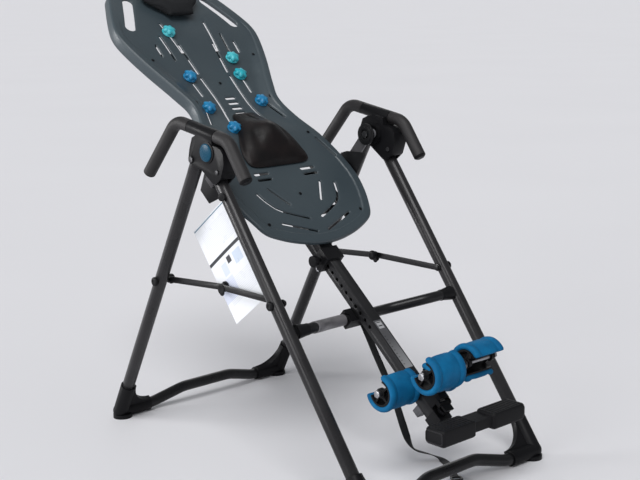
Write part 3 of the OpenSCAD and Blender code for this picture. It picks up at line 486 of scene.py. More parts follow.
def rounded_copy(name, nodes, body, finish, width=0.0008, segments=2, angle=32):
    """A copy of CAD parts with their doubled points merged and their edges rounded."""
    work = bmesh.new()
    for node in nodes:
        source = frame["nodes"][node]
        first = len(work.verts)
        work.from_mesh(source.data)
        work.verts.ensure_lookup_table()
        bmesh.ops.transform(work, matrix=source.matrix_world, verts=work.verts[first:])
    bmesh.ops.remove_doubles(work, verts=work.verts, dist=2e-6)
    bmesh.ops.dissolve_degenerate(work, edges=work.edges, dist=1e-6)
    bmesh.ops.dissolve_limit(work, angle_limit=math.radians(1.5), verts=work.verts, edges=work.edges)
    mesh = bpy.data.meshes.new(name)
    work.to_mesh(mesh)
    work.free()
    maker = bpy.data.objects.new(name + "_maker", mesh)
    scene.collection.objects.link(maker)
    edge = maker.modifiers.new("edges", "BEVEL")
    edge.width, edge.segments, edge.limit_method = width, segments, "ANGLE"
    edge.angle_limit = math.radians(angle)
    edge.use_clamp_overlap = True
    edge.harden_normals = True
    mesh.shade_smooth()
    piece = plain(name, maker)
    bpy.data.objects.remove(maker)
    piece.data.set_sharp_from_angle(angle=math.radians(50))
    wear(piece, finish)
    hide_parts(*nodes)
    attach(piece, body)
    return piece


leg_paint = powder_coat("charcoal_powder_coat", (0.017, 0.0165, 0.018), (0.062, 0.060, 0.062), 0.25)
base_paint = powder_coat("dark_powder_coat", (0.009, 0.009, 0.010), (0.036, 0.036, 0.038), 0.26)
LEGS = {
    "front_frame": ("front_left_leg", "front_right_leg"),
    "rear_frame": ("rear_left_leg", "rear_right_leg"),
}
for body, legs in LEGS.items():
    for leg in legs:
        rounded_copy(leg + "_tube", [leg], body, leg_paint, 0.0006)


def leaning(reach, degrees):
    """Places a base tube's flat line in the leaning plane of its legs: x across, y up the legs."""
    turn = math.radians(degrees)
    return lambda p: Vector((p.x, pivot.y + reach + p.y * math.cos(turn), foot_rise + p.y * math.sin(turn)))


front_lean = math.degrees(math.atan((0.612 + 0.015) / (pivot.z - foot_rise)))
rear_lean = math.degrees(math.atan((0.510 - 0.057) / (pivot.z - 0.019 - foot_rise)))
BASE_LINE = [
    (-base_half, 0), (-0.205, 0), (-0.095, base_arch), (0.095, base_arch), (0.205, 0), (base_half, 0)
]
for side, reach, tilt, body in (
    ("front", -0.612, 90 - front_lean, "front_frame"), ("rear", 0.510, 90 + rear_lean, "rear_frame"),
):
    place = leaning(reach, tilt)
    piece = tube(side + "_base_bar", [place(p) for p in bend(BASE_LINE, 0.120)], base_tube / 2, base_paint)
    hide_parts(side + "_base_tube")
    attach(piece, body)


# The feet. Injection-moulded corner boots grip each leg and base tube, with a web between the two
# sleeves and a flat sole, and keep the mould's fine grain.
def moulded(name, color, rough, grain=900, depth=0.00012):
    """Injection-moulded plastic with a fine spark-eroded grain."""
    f = Finish(name, color, rough, Specular_IOR_Level=0.13)
    broad = f.fit(f.noise(6, 2.0), 0.3, 0.7)
    fine = f.noise(grain, 3.0, 0.6)
    light = tuple(min(1.0, 1.3 * c + 0.001) for c in color)
    f.set("Base Color", f.mix(broad * 0.5 + f.fit(fine, 0.4, 0.7) * 0.3, color, light))
    f.set("Roughness", rough - 0.04 + f.fit(fine, 0.35, 0.65) * 0.12)
    f.bump(fine, depth)
    return f


black_plastic = moulded("black_moulding", (0.006, 0.006, 0.007), 0.40)
for side, body in (("front", "front_frame"), ("rear", "rear_frame")):
    for hand in ("left", "right"):
        rounded_copy(
            f"{side}_{hand}_boot", [f"{side}_{hand}_foot"], body, black_plastic, 0.0016, 3
        )


# The crossbar. A bent steel bar between the front legs, bowed back under the main shaft. Its left
# half is pale grey, and flared plastic collars saddle both of its ends on the legs.
crossbar_high = 0.436
crossbar_thick = 0.025
bow_drop = 20.0
bow_start = 0.222
bow_end = 0.112
crossbar_reach = -0.612 + (crossbar_high - foot_rise) * math.tan(math.radians(front_lean))
bumper_high = 0.006
shaft_drop = 0.174
shaft_wide = 0.038
tilt = math.radians(41)


def bed_n(y, z):
    return -math.sin(tilt) * y + math.cos(tilt) * (z - pivot.z)


rest_n = -shaft_drop - shaft_wide / 2 - 0.0003 - bumper_high - crossbar_thick / 2
drop = math.radians(bow_drop)
bow = (bed_n(crossbar_reach, crossbar_high) - rest_n) / (
    math.sin(tilt) * math.cos(drop) + math.cos(tilt) * math.sin(drop)
)
bar_half = 0.327 - 0.019 - 0.004
BAR_LINE = [(-bar_half, 0), (-bow_start, 0), (-bow_end, bow), (bow_end, bow), (bow_start, 0), (bar_half, 0)]
grey_sleeve = powder_coat("grey_powder_coat", (0.16, 0.155, 0.165), (0.30, 0.29, 0.30), 0.42, 0.25)


def on_crossbar(p):
    return Vector(
        (p.x, pivot.y + crossbar_reach + p.y * math.cos(drop), crossbar_high - p.y * math.sin(drop))
    )


bar_points = bend(BAR_LINE, 0.090)
left_half = [p for p in bar_points if p.x < -0.058]
# The bar is drawn 30 mm thick. Its solid is 25 mm.
bar_radius, sleeve_radius = 0.0150, 0.0165
dark_bar = tube("crossbar_bar", [on_crossbar(p) for p in bar_points], bar_radius, base_paint)
sleeve_points = [Vector((-0.238, 0))] + [p for p in left_half if p.x > -0.238] + [Vector((-0.052, bow))]
pale_bar = tube("crossbar_sleeve", [on_crossbar(p) for p in sleeve_points], sleeve_radius, grey_sleeve)
for piece, slot in ((dark_bar, "base_paint"), (pale_bar, "bar_grey")):
    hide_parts("crossbar")
    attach(piece, "front_frame")
rounded_copy(
    "crossbar_saddles", ["crossbar_collars"], "front_frame", black_plastic, 0.0012, 3
)
rounded_copy("bumper_block", ["crossbar_bumper"], "front_frame", black_plastic, 0.002, 3)


# The pivots. A deep moulded housing covers each front leg's top and the fold pin, and holds a grey
# bush for the bed's pin and a boss for the handlebar. A blue disc plugs its outer face.
def plated(name, color, rough=0.28):
    """Zinc-plated steel with faint turning lines and a little clouding."""
    f = Finish(name, color, rough, 1.0)
    cloud = f.fit(f.noise(60, 4.0), 0.3, 0.7)
    f.set("Base Color", f.mix(cloud, color, tuple(c * 0.72 for c in color)))
    f.set("Roughness", rough + cloud * 0.16)
    f.bump(f.noise(1500, 2.0), 0.00004)
    return f


housing_plastic = moulded("housing_moulding", (0.007, 0.007, 0.008), 0.36, 1100, 0.00010)
badge_plastic = moulded("badge_moulding", (0.006, 0.052, 0.095), 0.24, 300, 0.00002)
bush_plastic = moulded("bush_moulding", (0.17, 0.17, 0.18), 0.4)
zinc = plated("zinc_plate", (0.42, 0.42, 0.44))
dull_zinc = plated("dull_zinc", (0.10, 0.10, 0.105), 0.4)
for hand in ("left", "right"):
    rounded_copy(
        hand + "_housing", [hand + "_pivot_housing"], "front_frame", housing_plastic,
        0.0024, 3
    )
    rounded_copy(
        hand + "_badge", [hand + "_pivot_cap"], "front_frame", badge_plastic, 0.0005, 2
    )
rounded_copy("bushes", ["pivot_bushes"], "front_frame", bush_plastic, 0.0006)
rounded_copy("fold_bolts", ["fold_pins"], "front_frame", dull_zinc, 0.0006)
rounded_copy("clamp_bolts", ["housing_bolts"], "front_frame", dull_zinc, 0.0006)


# The handlebars. One bent tube each, clamped in the housing's boss, with foam grips slid over both
# ends and moulded plugs in the ends.
HANDLE = [(283, -78), (142, 80), (-88, 41), (-158, -58)]
handle_x = 0.335
handle_bend = 0.058
grip_r = 0.0185
handlebar_r = 0.0145
handle_line = [(a / 1000, b / 1000) for a, b in HANDLE]


def foam_finish(name, color, light, scale):
    """Closed-cell foam with an open skin: dull, with a fine pebbling."""
    f = Finish(name, color, 0.50, Specular_IOR_Level=0.35)
    pebble = f.node("ShaderNodeTexVoronoi", {"Scale": scale, "Vector": f.place}, "Distance")
    skin = f.noise(scale * 0.6, 3.0, 0.6)
    f.set(
        "Base Color", f.mix(f.fit(skin, 0.35, 0.7) * 0.7 + f.fit(f.noise(14), 0.35, 0.7) * 0.3, color,
        light)
    )
    f.set("Roughness", f.fit(skin, 0.3, 0.7, 0.44, 0.60))
    f.bump(pebble * 0.6 + skin, 0.0002)
    return f


grip_foam = foam_finish("grip_foam", (0.011, 0.010, 0.011), (0.034, 0.032, 0.033), 1500)
handle_paint = powder_coat("handle_powder_coat", (0.012, 0.012, 0.014), (0.048, 0.048, 0.052), 0.26)


def at_side(x):
    """Places a flat side-view line beside the table: its x runs along Y and its y up Z."""
    return lambda p: Vector((x, pivot.y + p.x, pivot.z + p.y))


for hand, s in (("left", -1), ("right", 1)):
    place = at_side(s * handle_x)
    flat = bend(handle_line, handle_bend, 3.0)
    way = (Vector(handle_line[1]) - Vector(handle_line[2])).normalized()
    rear_stop = Vector(handle_line[1]) - way * 0.064
    front_stop = Vector(handle_line[2]) + way * 0.048
    rear = [p for p in flat if (p - rear_stop).dot(way) > 0] + [rear_stop]
    front = [front_stop] + [p for p in flat if (p - front_stop).dot(way) < 0]
    bar = tube(hand + "_handle_tube", [place(p) for p in flat[1:-1]], handlebar_r, handle_paint)
    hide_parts(hand + "_handlebar")
    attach(bar, "front_frame")
    for end, line in (("rear", rear), ("front", front)):
        grip = tube(f"{hand}_{end}_grip", [place(p) for p in line], grip_r, grip_foam, 48)
        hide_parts(hand + "_grips")
        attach(grip, "front_frame")
rounded_copy("grip_plugs", ["grip_end_caps"], "front_frame", black_plastic, 0.0012, 3)


# The spreaders. Two flat folding bars on each side hold the frame open. They are pressed steel with
# rounded edges, riveted in the middle and pinned to the legs.
rounded_copy("leg_lock_knob", ["leg_knob"], "front_frame", black_plastic, 0.0012, 3)
rounded_copy("leg_pins", ["spreader_bolts"], "front_frame", base_paint, 0.0006)
SPREADERS = {
    "left_front_spreader": "left_front_link", "left_rear_spreader": "left_rear_link",
    "right_front_spreader": "right_front_link", "right_rear_spreader": "right_rear_link",
}
for node, body in SPREADERS.items():
    rounded_copy(node.replace("spreader", "stay"), [node], body, base_paint, 0.0010)
stay_high = 0.505
stay_front = crossbar_reach + (stay_high - crossbar_high) * math.tan(math.radians(front_lean))
stay_rear = 0.510 - (stay_high - 0.020 - foot_rise) * math.tan(math.radians(rear_lean))


def round_caps(name, spots, body):
    """Domed caps turned about the table's width, each an (x, y, height, radius, signed depth)."""
    verts, faces, n = [], [], 32
    for x, y, z, radius, deep in spots:
        first = len(verts)
        for share, rise in (
            (1, 0), (1, 0.55), (0.93, 0.82), (0.78, 0.96), (0.5, 1.0), (0.42, 0.86), (0.1, 0.86)
        ):
            for k in range(n):
                a = math.tau * k / n
                q = radius * share
                verts.append(Vector((x + deep * rise, pivot.y + y + q * math.cos(a), z + q * math.sin(a))))
        for i in range(6):
            for k in range(n):
                m = (k + 1) % n
                faces.append(
                    (first + i * n + k, first + i * n + m, first + (i + 1) * n + m, first + (i + 1) * n + k)
                )
        faces.append(tuple(first + k for k in range(n))[::-1])
        faces.append(tuple(first + 6 * n + k for k in range(n)))
    piece = new_piece(name, verts, faces, black_plastic)
    face_out(piece)
    piece.data.set_sharp_from_angle(angle=math.radians(45))
    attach(piece, body)


outer, inner = 0.3455, 0.2928
round_caps(
    "front_stay_caps", [(s * outer, stay_front, stay_high, 0.013, s * 0.007) for s in (-1, 1)], "front_frame"
)
round_caps(
    "rear_stay_caps", [(s * outer, stay_rear, stay_high - 0.020, 0.014, s * 0.008) for s in (-1, 1)],
    "rear_frame"
)
for hand, s in (("left", -1), ("right", 1)):
    round_caps(
        hand + "_stay_knobs",
        [(s * inner, 0, stay_high, 0.015, -s * 0.009),
        (s * inner, stay_rear, stay_high - 0.020, 0.015, -s * 0.010)],
        hand + "_rear_link",
    )
    round_caps(
        hand + "_stay_button", [(s * 0.3052, 0, stay_high - 0.006, 0.0155, s * 0.0022)],
        hand + "_front_link"
    )


# The instruction card. A coated sheet that hangs by a cord from a peg on the left pivot housing, a
# little bowed, with plain printed bars, a drawing panel and blocks of blank lines.
card_x = -0.286
card_hang = Vector((-10, -131))
card_peg = Vector((-24, -58))
card_edge = 8.0
card_wide, card_high, card_tilt = 200.0, 304.0, math.radians(38)


def card_stock():
    """Coated white stock printed with generic bars and panels, on the card's own UV map."""
    f = Finish("card_stock", (0.72, 0.745, 0.79), 0.36, Coat_Weight=0.15, Coat_Roughness=0.25)
    across, along, _ = f.split(f.node("ShaderNodeUVMap", uv_map="card"))

    def block(x0, x1, y0, y1):
        soft = 0.6
        return f.fit(across, x0 - soft, x0 + soft) * f.fit(across, x1 - soft, x1 + soft, 1, 0) \
            * f.fit(along, y0 - soft, y0 + soft) * f.fit(along, y1 - soft, y1 + soft, 1, 0)

    lines = f.fit((along * 1.25).sum("SINE", along * 1.25), 0.1, 0.5)
    tone = f.mix(block(0, 200, 180, 190), (0.84, 0.86, 0.90), (0.020, 0.022, 0.028))
    tone = f.mix(block(22, 178, 206, 282) * lines * 0.22, tone, (0.34, 0.38, 0.46))
    tone = f.mix(block(96, 116, 150, 170), tone, (0.030, 0.032, 0.040))
    tone = f.mix(block(44, 84, 132, 168) * 0.50, tone, (0.36, 0.50, 0.70))
    tone = f.mix(block(124, 152, 126, 162) * 0.40, tone, (0.40, 0.52, 0.68))
    tone = f.mix(block(0, 200, 297, 300), tone, (0.05, 0.16, 0.24))
    tone = f.mix(block(120, 200, 60, 120) * 0.5, tone, (0.55, 0.62, 0.86))
    tone = f.mix(block(24, 176, 44, 108) * lines * 0.22, tone, (0.36, 0.40, 0.48))
    f.set("Base Color", tone)
    f.set("Roughness", f.fit(f.noise(30), 0.3, 0.7, 0.26, 0.40))
    f.bump(f.noise(120, 2.0), 0.00008)
    return f


def card_spot(u, w, out):
    """A place on the card: across and up its face in mm, and out from it."""
    c, s = math.cos(-card_tilt), math.sin(-card_tilt)
    a, b = u - card_edge, w + card_edge - card_high
    y, z = card_hang.x + a * c - b * s, card_hang.y + a * s + b * c
    return Vector((card_x - out / 1000, pivot.y + y / 1000, pivot.z + z / 1000))


def two_sided(rows, cols, back):
    """The faces of a grid, of its back, whose points come after `back` others, and of the edge between."""
    faces = []
    for row in range(rows):
        for col in range(cols):
            a = row * (cols + 1) + col
            quad = (a, a + 1, a + cols + 2, a + cols + 1)
            faces += [quad, tuple(i + back for i in reversed(quad))]
    border = list(range(cols)) + [cols + row * (cols + 1) for row in range(rows)]
    border += [rows * (cols + 1) + cols - col for col in range(cols)]
    border += [(rows - row) * (cols + 1) for row in range(rows)]
    for i, a in enumerate(border):
        b = border[(i + 1) % len(border)]
        faces.append((b, a, a + back, b + back))
    return faces


def card_sheet(finish):
    cols, rows = 16, 24
    verts, spots = [], []
    for back in (0, 1):
        for row in range(rows + 1):
            for col in range(cols + 1):
                u, w = card_wide * col / cols, card_high * row / rows
                bow = 2.4 * math.sin(math.pi * w / card_high) * math.sin(math.pi * u / card_wide)
                verts.append(card_spot(u, w, 0.6 * back + bow))
                spots.append((u, w))
    size = (cols + 1) * (rows + 1)
    faces = two_sided(rows, cols, size)
    piece = new_piece("printed_card", verts, faces, finish)
    uv = piece.data.uv_layers.new(name="card")
    for loop in piece.data.loops:
        uv.data[loop.index].uv = spots[loop.vertex_index]
    face_out(piece)
    piece.data.set_sharp_from_angle(angle=math.radians(50))
    return piece


card = card_sheet(card_stock())
peg_r = 0.0034
peg = Vector((card_x - 0.0008, pivot.y + card_peg.x / 1000, pivot.z + card_peg.y / 1000))
hole = card_spot(card_edge, card_high - card_edge, 0.8)
down = (hole - peg).normalized()
aside = Vector((0, -down.z, down.y))
loop_line = [hole + aside * 0.0008]
for k in range(17):
    a = math.pi * k / 16
    loop_line.append(peg + peg_r * (aside * math.cos(a) - down * math.sin(a)))
loop_line.append(hole - aside * 0.0008)
card_loop = tube("card_cord_loop", loop_line, 0.0008, strap_finish, 12)
knot = bpy.data.objects.new("card_knot", bpy.data.meshes.new("card_knot"))
shape = bmesh.new()
bmesh.ops.create_uvsphere(shape, u_segments=16, v_segments=10, radius=0.0026)
bmesh.ops.translate(shape, verts=shape.verts, vec=hole + Vector((0.0026, 0, 0)))
shape.to_mesh(knot.data)
shape.free()
scene.collection.objects.link(knot)
wear(knot, strap_finish)
for piece, slot in ((card, "card_white"), (card_loop, "strap_black"), (knot, "strap_black")):
    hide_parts("instruction_card")
    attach(piece, "front_frame")
# The bed. One shell of slate-blue plastic, moulded in a single piece: a dished back and seat with a
# deep turned-down rim, long flex slots with rolled lips, and two hand holds beside the head.
OUTLINE = [
    (0, -272), (60, -267), (128, -250), (184, -226), (207, -208), (222, -180), (244, -120), (256, -55),
    (250, 30), (226, 122), (186, 205),
    (168, 282), (188, 350), (230, 455), (260, 550), (266, 605), (252, 660), (216, 745), (184, 800),
    (120, 826), (0, 832),
]
SLOTS = [
    (70, 512, 85, 640), (111, 486, 118, 584), (150, 505, 152, 548), (57, 428, 66, 545), (95, 335, 98, 388),
    (122, 268, 143, 208),
]
WIDE_SLOTS = [(66, -4, 112, -4), (66, -26, 112, -26)]
BENT_SLOTS = [
    [(57, 408), (54, 330), (56, 270), (68, 205)],
    [(101, -62), (62, -127)], [(151, -76), (136, -112), (106, -147), (25, -186)],
    [(129, -190), (22, -232)], [(200, 105), (226, 25)],
]
HAND_HOLD = [(150, 742), (200, 632)]
CENTRE_SLOTS = [250, 272, 294, 316]
slot_half = 3.5
wide_half = 4.8
hold_half = 17.0
seat_drop = 111.0
shell_thick = 5.0
rim_deep, rim_low = 38.0, 12.0
rim_round = 7.0
lip_round = 2.4
seat_curl, head_curl = 16.0, 12.0
on_bed = Matrix.Translation(pivot) @ Matrix.Rotation(tilt, 4, "X") @ Matrix.Scale(0.001, 4)


def bed_level(y):
    """The height of the bed's plain surface, which curls down at both ends."""
    foot = max(0.0, (-120 - y) / 152)
    head = max(0.0, (y - 560) / 272)
    return -seat_drop - seat_curl * foot**2 - head_curl * head**2


def ease(value, low, high):
    s = min(1.0, max(0.0, (value - low) / (high - low)))
    return s * s * (3 - 2 * s)


def closed_curve(points, steps):
    n = len(points)
    ring = []
    for i in range(n):
        a, b, c, d = (points[(i + k - 1) % n] for k in range(4))
        for k in range(steps):
            s = k / steps
            ring.append(
                0.5 * (2 * b + (c - a) * s + (2 * a - 5 * b + 4 * c - d) * s**2 + (3 * b - a - 3 * c + d)
                * s**3)
            )
    return ring


def shrunk(ring, e):
    """The closed line moved inwards by e."""
    n = len(ring)
    out = []
    for i, p in enumerate(ring):
        u = (ring[(i + 1) % n] - ring[i - 1]).normalized()
        out.append(p + e * Vector((-u.y, u.x)))
    return out


def round_slot(points, half, arc=7):
    """The closed line round a slot with round ends that follows some points."""
    left, back = [], []
    for i, p in enumerate(points):
        u = (points[min(i + 1, len(points) - 1)] - points[max(i - 1, 0)]).normalized()
        side = Vector((-u.y, u.x))
        if i == 0:
            left += [
                p + half * (math.cos(a) * side - math.sin(a) * u)
                for a in [math.pi * (1 - k / arc) for k in range(arc)]
            ]
        left.append(p + half * side)
        back.insert(0, p - half * side)
        if i == len(points) - 1:
            left += [
                p + half * (math.cos(a) * side + math.sin(a) * u)
                for a in [math.pi * k / arc for k in range(1, arc)]
            ]
    return left + back


def to_segment(p, a, b):
    u = b - a
    s = min(1.0, max(0.0, (p - a).dot(u) / max(u.length_squared, 1e-9)))
    return (p - a - s * u).length


class Opening:
    """A slot or hand hold: its middle line, and half its width."""

    def __init__(self, points, half, curve=True):
        points = [Vector(p) for p in points]
        if len(points) > 2:
            points = smooth_line(points, 5)
        elif curve:
            a, b = points
            points = [a + (b - a) * k / 6 for k in range(7)]
        self.points, self.half = points, half
        xs, ys = [p.x for p in points], [p.y for p in points]
        self.box = (min(xs) - half - 6, max(xs) + half + 6, min(ys) - half - 6, max(ys) + half + 6)

    def gap(self, p):
        """How far a point is outside the opening's edge, up to 6 mm."""
        x0, x1, y0, y1 = self.box
        if not (x0 < p.x < x1 and y0 < p.y < y1):
            return 6.0
        return min(to_segment(p, a, b) for a, b in zip(self.points, self.points[1:])) - self.half


openings = []
for s in (1, -1):
    for x0, y0, x1, y1 in SLOTS:
        openings.append(Opening([(s * x0, y0), (s * x1, y1)], slot_half))
    for x0, y0, x1, y1 in WIDE_SLOTS:
        openings.append(Opening([(s * x0, y0), (s * x1, y1)], wide_half))
    for line in BENT_SLOTS:
        openings.append(Opening([(s * x, y) for x, y in line], slot_half))
    openings.append(Opening([(s * x, y) for x, y in HAND_HOLD], hold_half))
openings += [Opening([(-15, y), (15, y)], wide_half) for y in CENTRE_SLOTS]
half_ring = [Vector(p) for p in OUTLINE]
outline = closed_curve(half_ring + [Vector((-p.x, p.y)) for p in half_ring[-2:0:-1]], 5)


def edge_gap(p):
    """How far a point is inside the bed's outline."""
    return min(to_segment(p, outline[i - 1], outline[i]) for i in range(len(outline)))


def dish(x, y, gap):
    """The moulded relief: a dished waist, a lowered panel inside a soft step, and a seat hollow."""
    seat = 1 - ease(y, 60, 170)
    back = ease(y, 200, 300) * (1 - ease(y, 610, 680))
    panel = -3.6 * ease(gap, 26, 31) * seat - 2.4 * ease(gap, 22, 26) * back
    waist = -15.0 * ease(y, 130, 260) * (1 - ease(y, 380, 610)) * ease(gap, 12, 62)
    hollow = -3.0 * math.exp(-((x / 120) ** 2 + ((y + 90) / 90) ** 2))
    return panel + waist + hollow


def quarter(gap, radius):
    """The drop of a rounded edge at a distance from it."""
    d = min(max(gap, 0.0), radius)
    return radius - math.sqrt(max(radius**2 - (radius - d) ** 2, 0.0))


def shell_grid():
    """A flat triangulation of the bed with rings that follow its outline and every opening."""
    spots, lines = [], []

    def ring_of(points):
        first = len(spots)
        spots.extend(points)
        lines.extend((first + i, first + (i + 1) % len(points)) for i in range(len(points)))

    for e in (0, 0.7, 1.8, 3.4, shell_thick, rim_round, 12, 22, 24, 26, 28.5, 31, 35):
        ring_of(shrunk(outline, e))
    for opening in openings:
        for e in (0, 0.8, lip_round):
            ring_of(round_slot(opening.points, opening.half + e, 16 if opening.half > 10 else 6))
    pitch = 9.0
    for row in range(int(1120 / pitch)):
        y = -280 + row * pitch
        for col in range(int(540 / pitch) + 1):
            p = Vector((-270 + (col + 0.5 * (row % 2)) * pitch, y))
            if min(o.gap(p) for o in openings) < lip_round + 1.5:
                continue
            if inside(p, outline) and edge_gap(p) > rim_round + 2:
                spots.append(p)
    return delaunay_2d_cdt(spots, lines, [], 0, 0.001)


def inside(p, ring):
    hit = False
    for i in range(len(ring)):
        a, b = ring[i - 1], ring[i]
        if (a.y > p.y) != (b.y > p.y) and p.x < (b.x - a.x) * (p.y - a.y) / (b.y - a.y) + a.x:
            hit = not hit
    return hit


def build_shell():
    flat, _, triangles, *_ = shell_grid()
    gaps = [edge_gap(p) if inside(p, outline) else 0.0 for p in flat]
    slots = [min(o.gap(p) for o in openings) for p in flat]
    kept = []
    for tri in triangles:
        middle = sum((flat[i] for i in tri), Vector((0, 0))) / len(tri)
        if inside(middle, outline) and min(o.gap(middle) for o in openings) > 0:
            kept.append(tuple(tri))
    verts, faces, top, low = [], [], {}, {}
    for i in sorted({i for tri in kept for i in tri}):
        p, gap = flat[i], gaps[i]
        plain_z = bed_level(p.y) + dish(p.x, p.y, gap)
        top[i] = len(verts)
        verts.append(Vector((p.x, p.y, plain_z - quarter(gap, rim_round) - quarter(slots[i], lip_round))))
        low[i] = len(verts)
        verts.append(
            Vector((p.x, p.y, plain_z - quarter(gap - shell_thick, rim_round - shell_thick) - shell_thick))
        )
    under = [tri for tri in kept if all(gaps[i] > shell_thick - 0.3 for i in tri)]
    faces += [tuple(top[i] for i in tri) for tri in kept]
    faces += [tuple(low[i] for i in reversed(tri)) for tri in under]

    def open_edges(tris):
        count = {}
        for tri in tris:
            for a, b in zip(tri, tri[1:] + tri[:1]):
                count[(a, b)] = True
        return [(a, b) for a, b in count if (b, a) not in count]

    rim_edges, inner_edges = [], []
    for a, b in open_edges(kept):
        if gaps[a] < 0.5 and gaps[b] < 0.5 and slots[a] > 1 and slots[b] > 1:
            rim_edges.append((a, b))
        else:
            faces.append((top[b], top[a], low[a], low[b]))
    for a, b in open_edges(under):
        if slots[a] > 1 or slots[b] > 1:
            if gaps[a] < shell_thick + 0.5 and gaps[b] < shell_thick + 0.5:
                inner_edges.append((a, b))

    def rim_height(y):
        return rim_low + (rim_deep - rim_low) * ease(y, -165, -60)

    def skirt(edges, inwards, start, rows, face_in):
        """Walls hanging from an edge, in rows of (move inwards, share of the height, rise above the foot)."""
        column = {}
        for i in {i for edge in edges for i in edge}:
            p = flat[i]
            q = min(range(len(outline)), key=lambda k: (outline[k] - p).length_squared)
            u = (outline[(q + 1) % len(outline)] - outline[q - 1]).normalized()
            n = Vector((-u.y, u.x))
            column[i] = [start[i]]
            for e, share, rise in rows:
                spot = p + (e - inwards) * n
                column[i].append(len(verts))
                high = share * max(0.0, rim_height(p.y) - rim_round - 1)
                verts.append(Vector((spot.x, spot.y, bed_level(p.y) - rim_height(p.y) + high + rise)))
        for a, b in edges:
            for k in range(len(rows)):
                quad = (column[b][k], column[a][k], column[a][k + 1], column[b][k + 1])
                faces.append(quad[::-1] if face_in else quad)
        return column

    skirt(rim_edges, 0, top, [(0.0, 0.6, 0), (0.0, 0, 1.2), (0.6, 0, 0.3), (1.8, 0, 0), (2.5, 0, 0)], False)
    wall = shell_thick
    skirt(
        inner_edges, wall, low, [(wall, 0.6, 0), (wall, 0, 1.2), (wall - 0.6, 0, 0.3), (3.2, 0, 0),
        (2.5, 0, 0)], False
    )
    piece = new_piece("bed_shell_moulding", [on_bed @ v for v in verts], faces, bed_plastic)
    face_out(piece, 2e-5)
    piece.data.shade_smooth()
    piece.data.set_sharp_from_angle(angle=math.radians(55))
    return piece


def bed_finish():
    """Slate-blue moulding: fine leathery grain, faint flow marks and paler rubbed patches."""
    f = Finish(
        "bed_moulding", (0.045, 0.063, 0.075), 0.42, Specular_IOR_Level=0.5, Coat_Weight=0.2,
        Coat_Roughness=0.3
    )
    grain = f.node("ShaderNodeTexVoronoi", {"Scale": 620, "Vector": f.place}, "Distance")
    fine = f.noise(1300, 3.0, 0.6)
    broad = f.fit(f.noise(4.5, 3.0), 0.3, 0.72)
    tone = f.mix(broad, (0.031, 0.047, 0.058), (0.041, 0.060, 0.071))
    f.set("Base Color", f.mix(f.fit(fine, 0.42, 0.68) * 0.35, tone, (0.080, 0.104, 0.118)))
    f.set("Roughness", f.fit(fine, 0.3, 0.7, 0.36, 0.50))
    f.bump(grain * 0.5 + fine, 0.00022)
    return f


bed_plastic = bed_finish()
shell = build_shell()
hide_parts("bed_shell")
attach(shell, "bed")


# The bed's steelwork. Two long rails, a cross member, pale arms and black corner plates hang the
# shell from the pivot pins, and eight black screws hold the shell on.
black_paint = powder_coat("black_powder_coat", (0.008, 0.008, 0.009), (0.032, 0.032, 0.035), 0.40)
arm_paint = powder_coat("arm_powder_coat", (0.10, 0.098, 0.104), (0.20, 0.195, 0.205), 0.36, 0.3)
rounded_copy("bed_rails", ["bed_frame"], "bed", black_paint, 0.0006)
rounded_copy("left_arm", ["left_pivot_arm"], "bed", arm_paint, 0.0010)
rounded_copy("right_arm", ["right_pivot_arm"], "bed", arm_paint, 0.0010)
rounded_copy("hang_pins", ["pivot_pins"], "bed", dull_zinc, 0.0008)
rounded_copy("corner_plates", ["pivot_brackets"], "bed", black_paint, 0.0008)
SCREWS = [(196, 488), (183, 131), (178, -186), (0, -95), (0, 381)]
black_zinc = plated("black_zinc", (0.030, 0.031, 0.034), 0.36)


def screw_recipe():
    """A pan head with a cross recess on each point, standing along the bed's normal."""
    r = Recipe("pan_screw", Head=0.0052, Tilt=0.0)
    dome = r.node("GeometryNodeMeshUVSphere", {"Segments": 28, "Rings": 10, "Radius": r.given["Head"]})
    flat = r.node(
        "GeometryNodeTransform", {"Geometry": dome, "Scale": (1, 1, 0.28), "Translation": (0, 0, 0.0009)}
    )
    bars = [
        r.node("GeometryNodeMeshCube", {"Size": size})
        for size in ((0.0062, 0.0012, 0.003), (0.0012, 0.0062, 0.003))
    ]
    cut = r.node("GeometryNodeMeshBoolean", {"Mesh 1": flat}, operation="DIFFERENCE", solver="EXACT")
    for bar in bars:
        lifted = r.node("GeometryNodeTransform", {"Geometry": bar, "Translation": (0, 0, 0.0028)})
        r.tree.links.new(lifted, cut.node.inputs["Mesh 2"])
    turn = r.node("ShaderNodeCombineXYZ", {"X": r.given["Tilt"]})
    placed = r.node(
        "GeometryNodeInstanceOnPoints", {"Points": r.given["Geometry"], "Instance": cut, "Rotation": turn}
    )
    return r.close(placed)


screw_spots = [(s * x, y) for x, y in SCREWS for s in ((1,) if x == 0 else (1, -1))]
screw_places = [
    on_bed @ Vector((x, y, bed_level(y) + dish(x, y, edge_gap(Vector((x, y)))) + 0.2)) for x,
    y in screw_spots
]
screws = screw_recipe().make("shell_screws", black_zinc, screw_places, Tilt=tilt)
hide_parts("bed_screws")
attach(screws, "bed")


# The head pillow. A soft foam block in a knitted black cover, wider at its foot, strapped on the
# head end. It is swelled by a short cloth simulation.
cover_scale = 1500


def knit_finish(name, color, light):
    """Fine spacer knit: rows of small loops, dull with a soft sheen."""
    f = Finish(name, color, 0.90, Specular_IOR_Level=0.2)
    x, y, z = f.split(f.place)
    rows = ((y + z) * cover_scale).sum("SINE", (y + z) * cover_scale)
    cols = (x * cover_scale).sum("SINE", x * cover_scale)
    loops = rows * cols
    f.set(
        "Base Color", f.mix(f.fit(loops, -0.6, 0.9) * 0.6 + f.fit(f.noise(16), 0.35, 0.7) * 0.3, color,
        light)
    )
    f.bump(loops * 0.5 + f.noise(900), 0.0004)
    return f


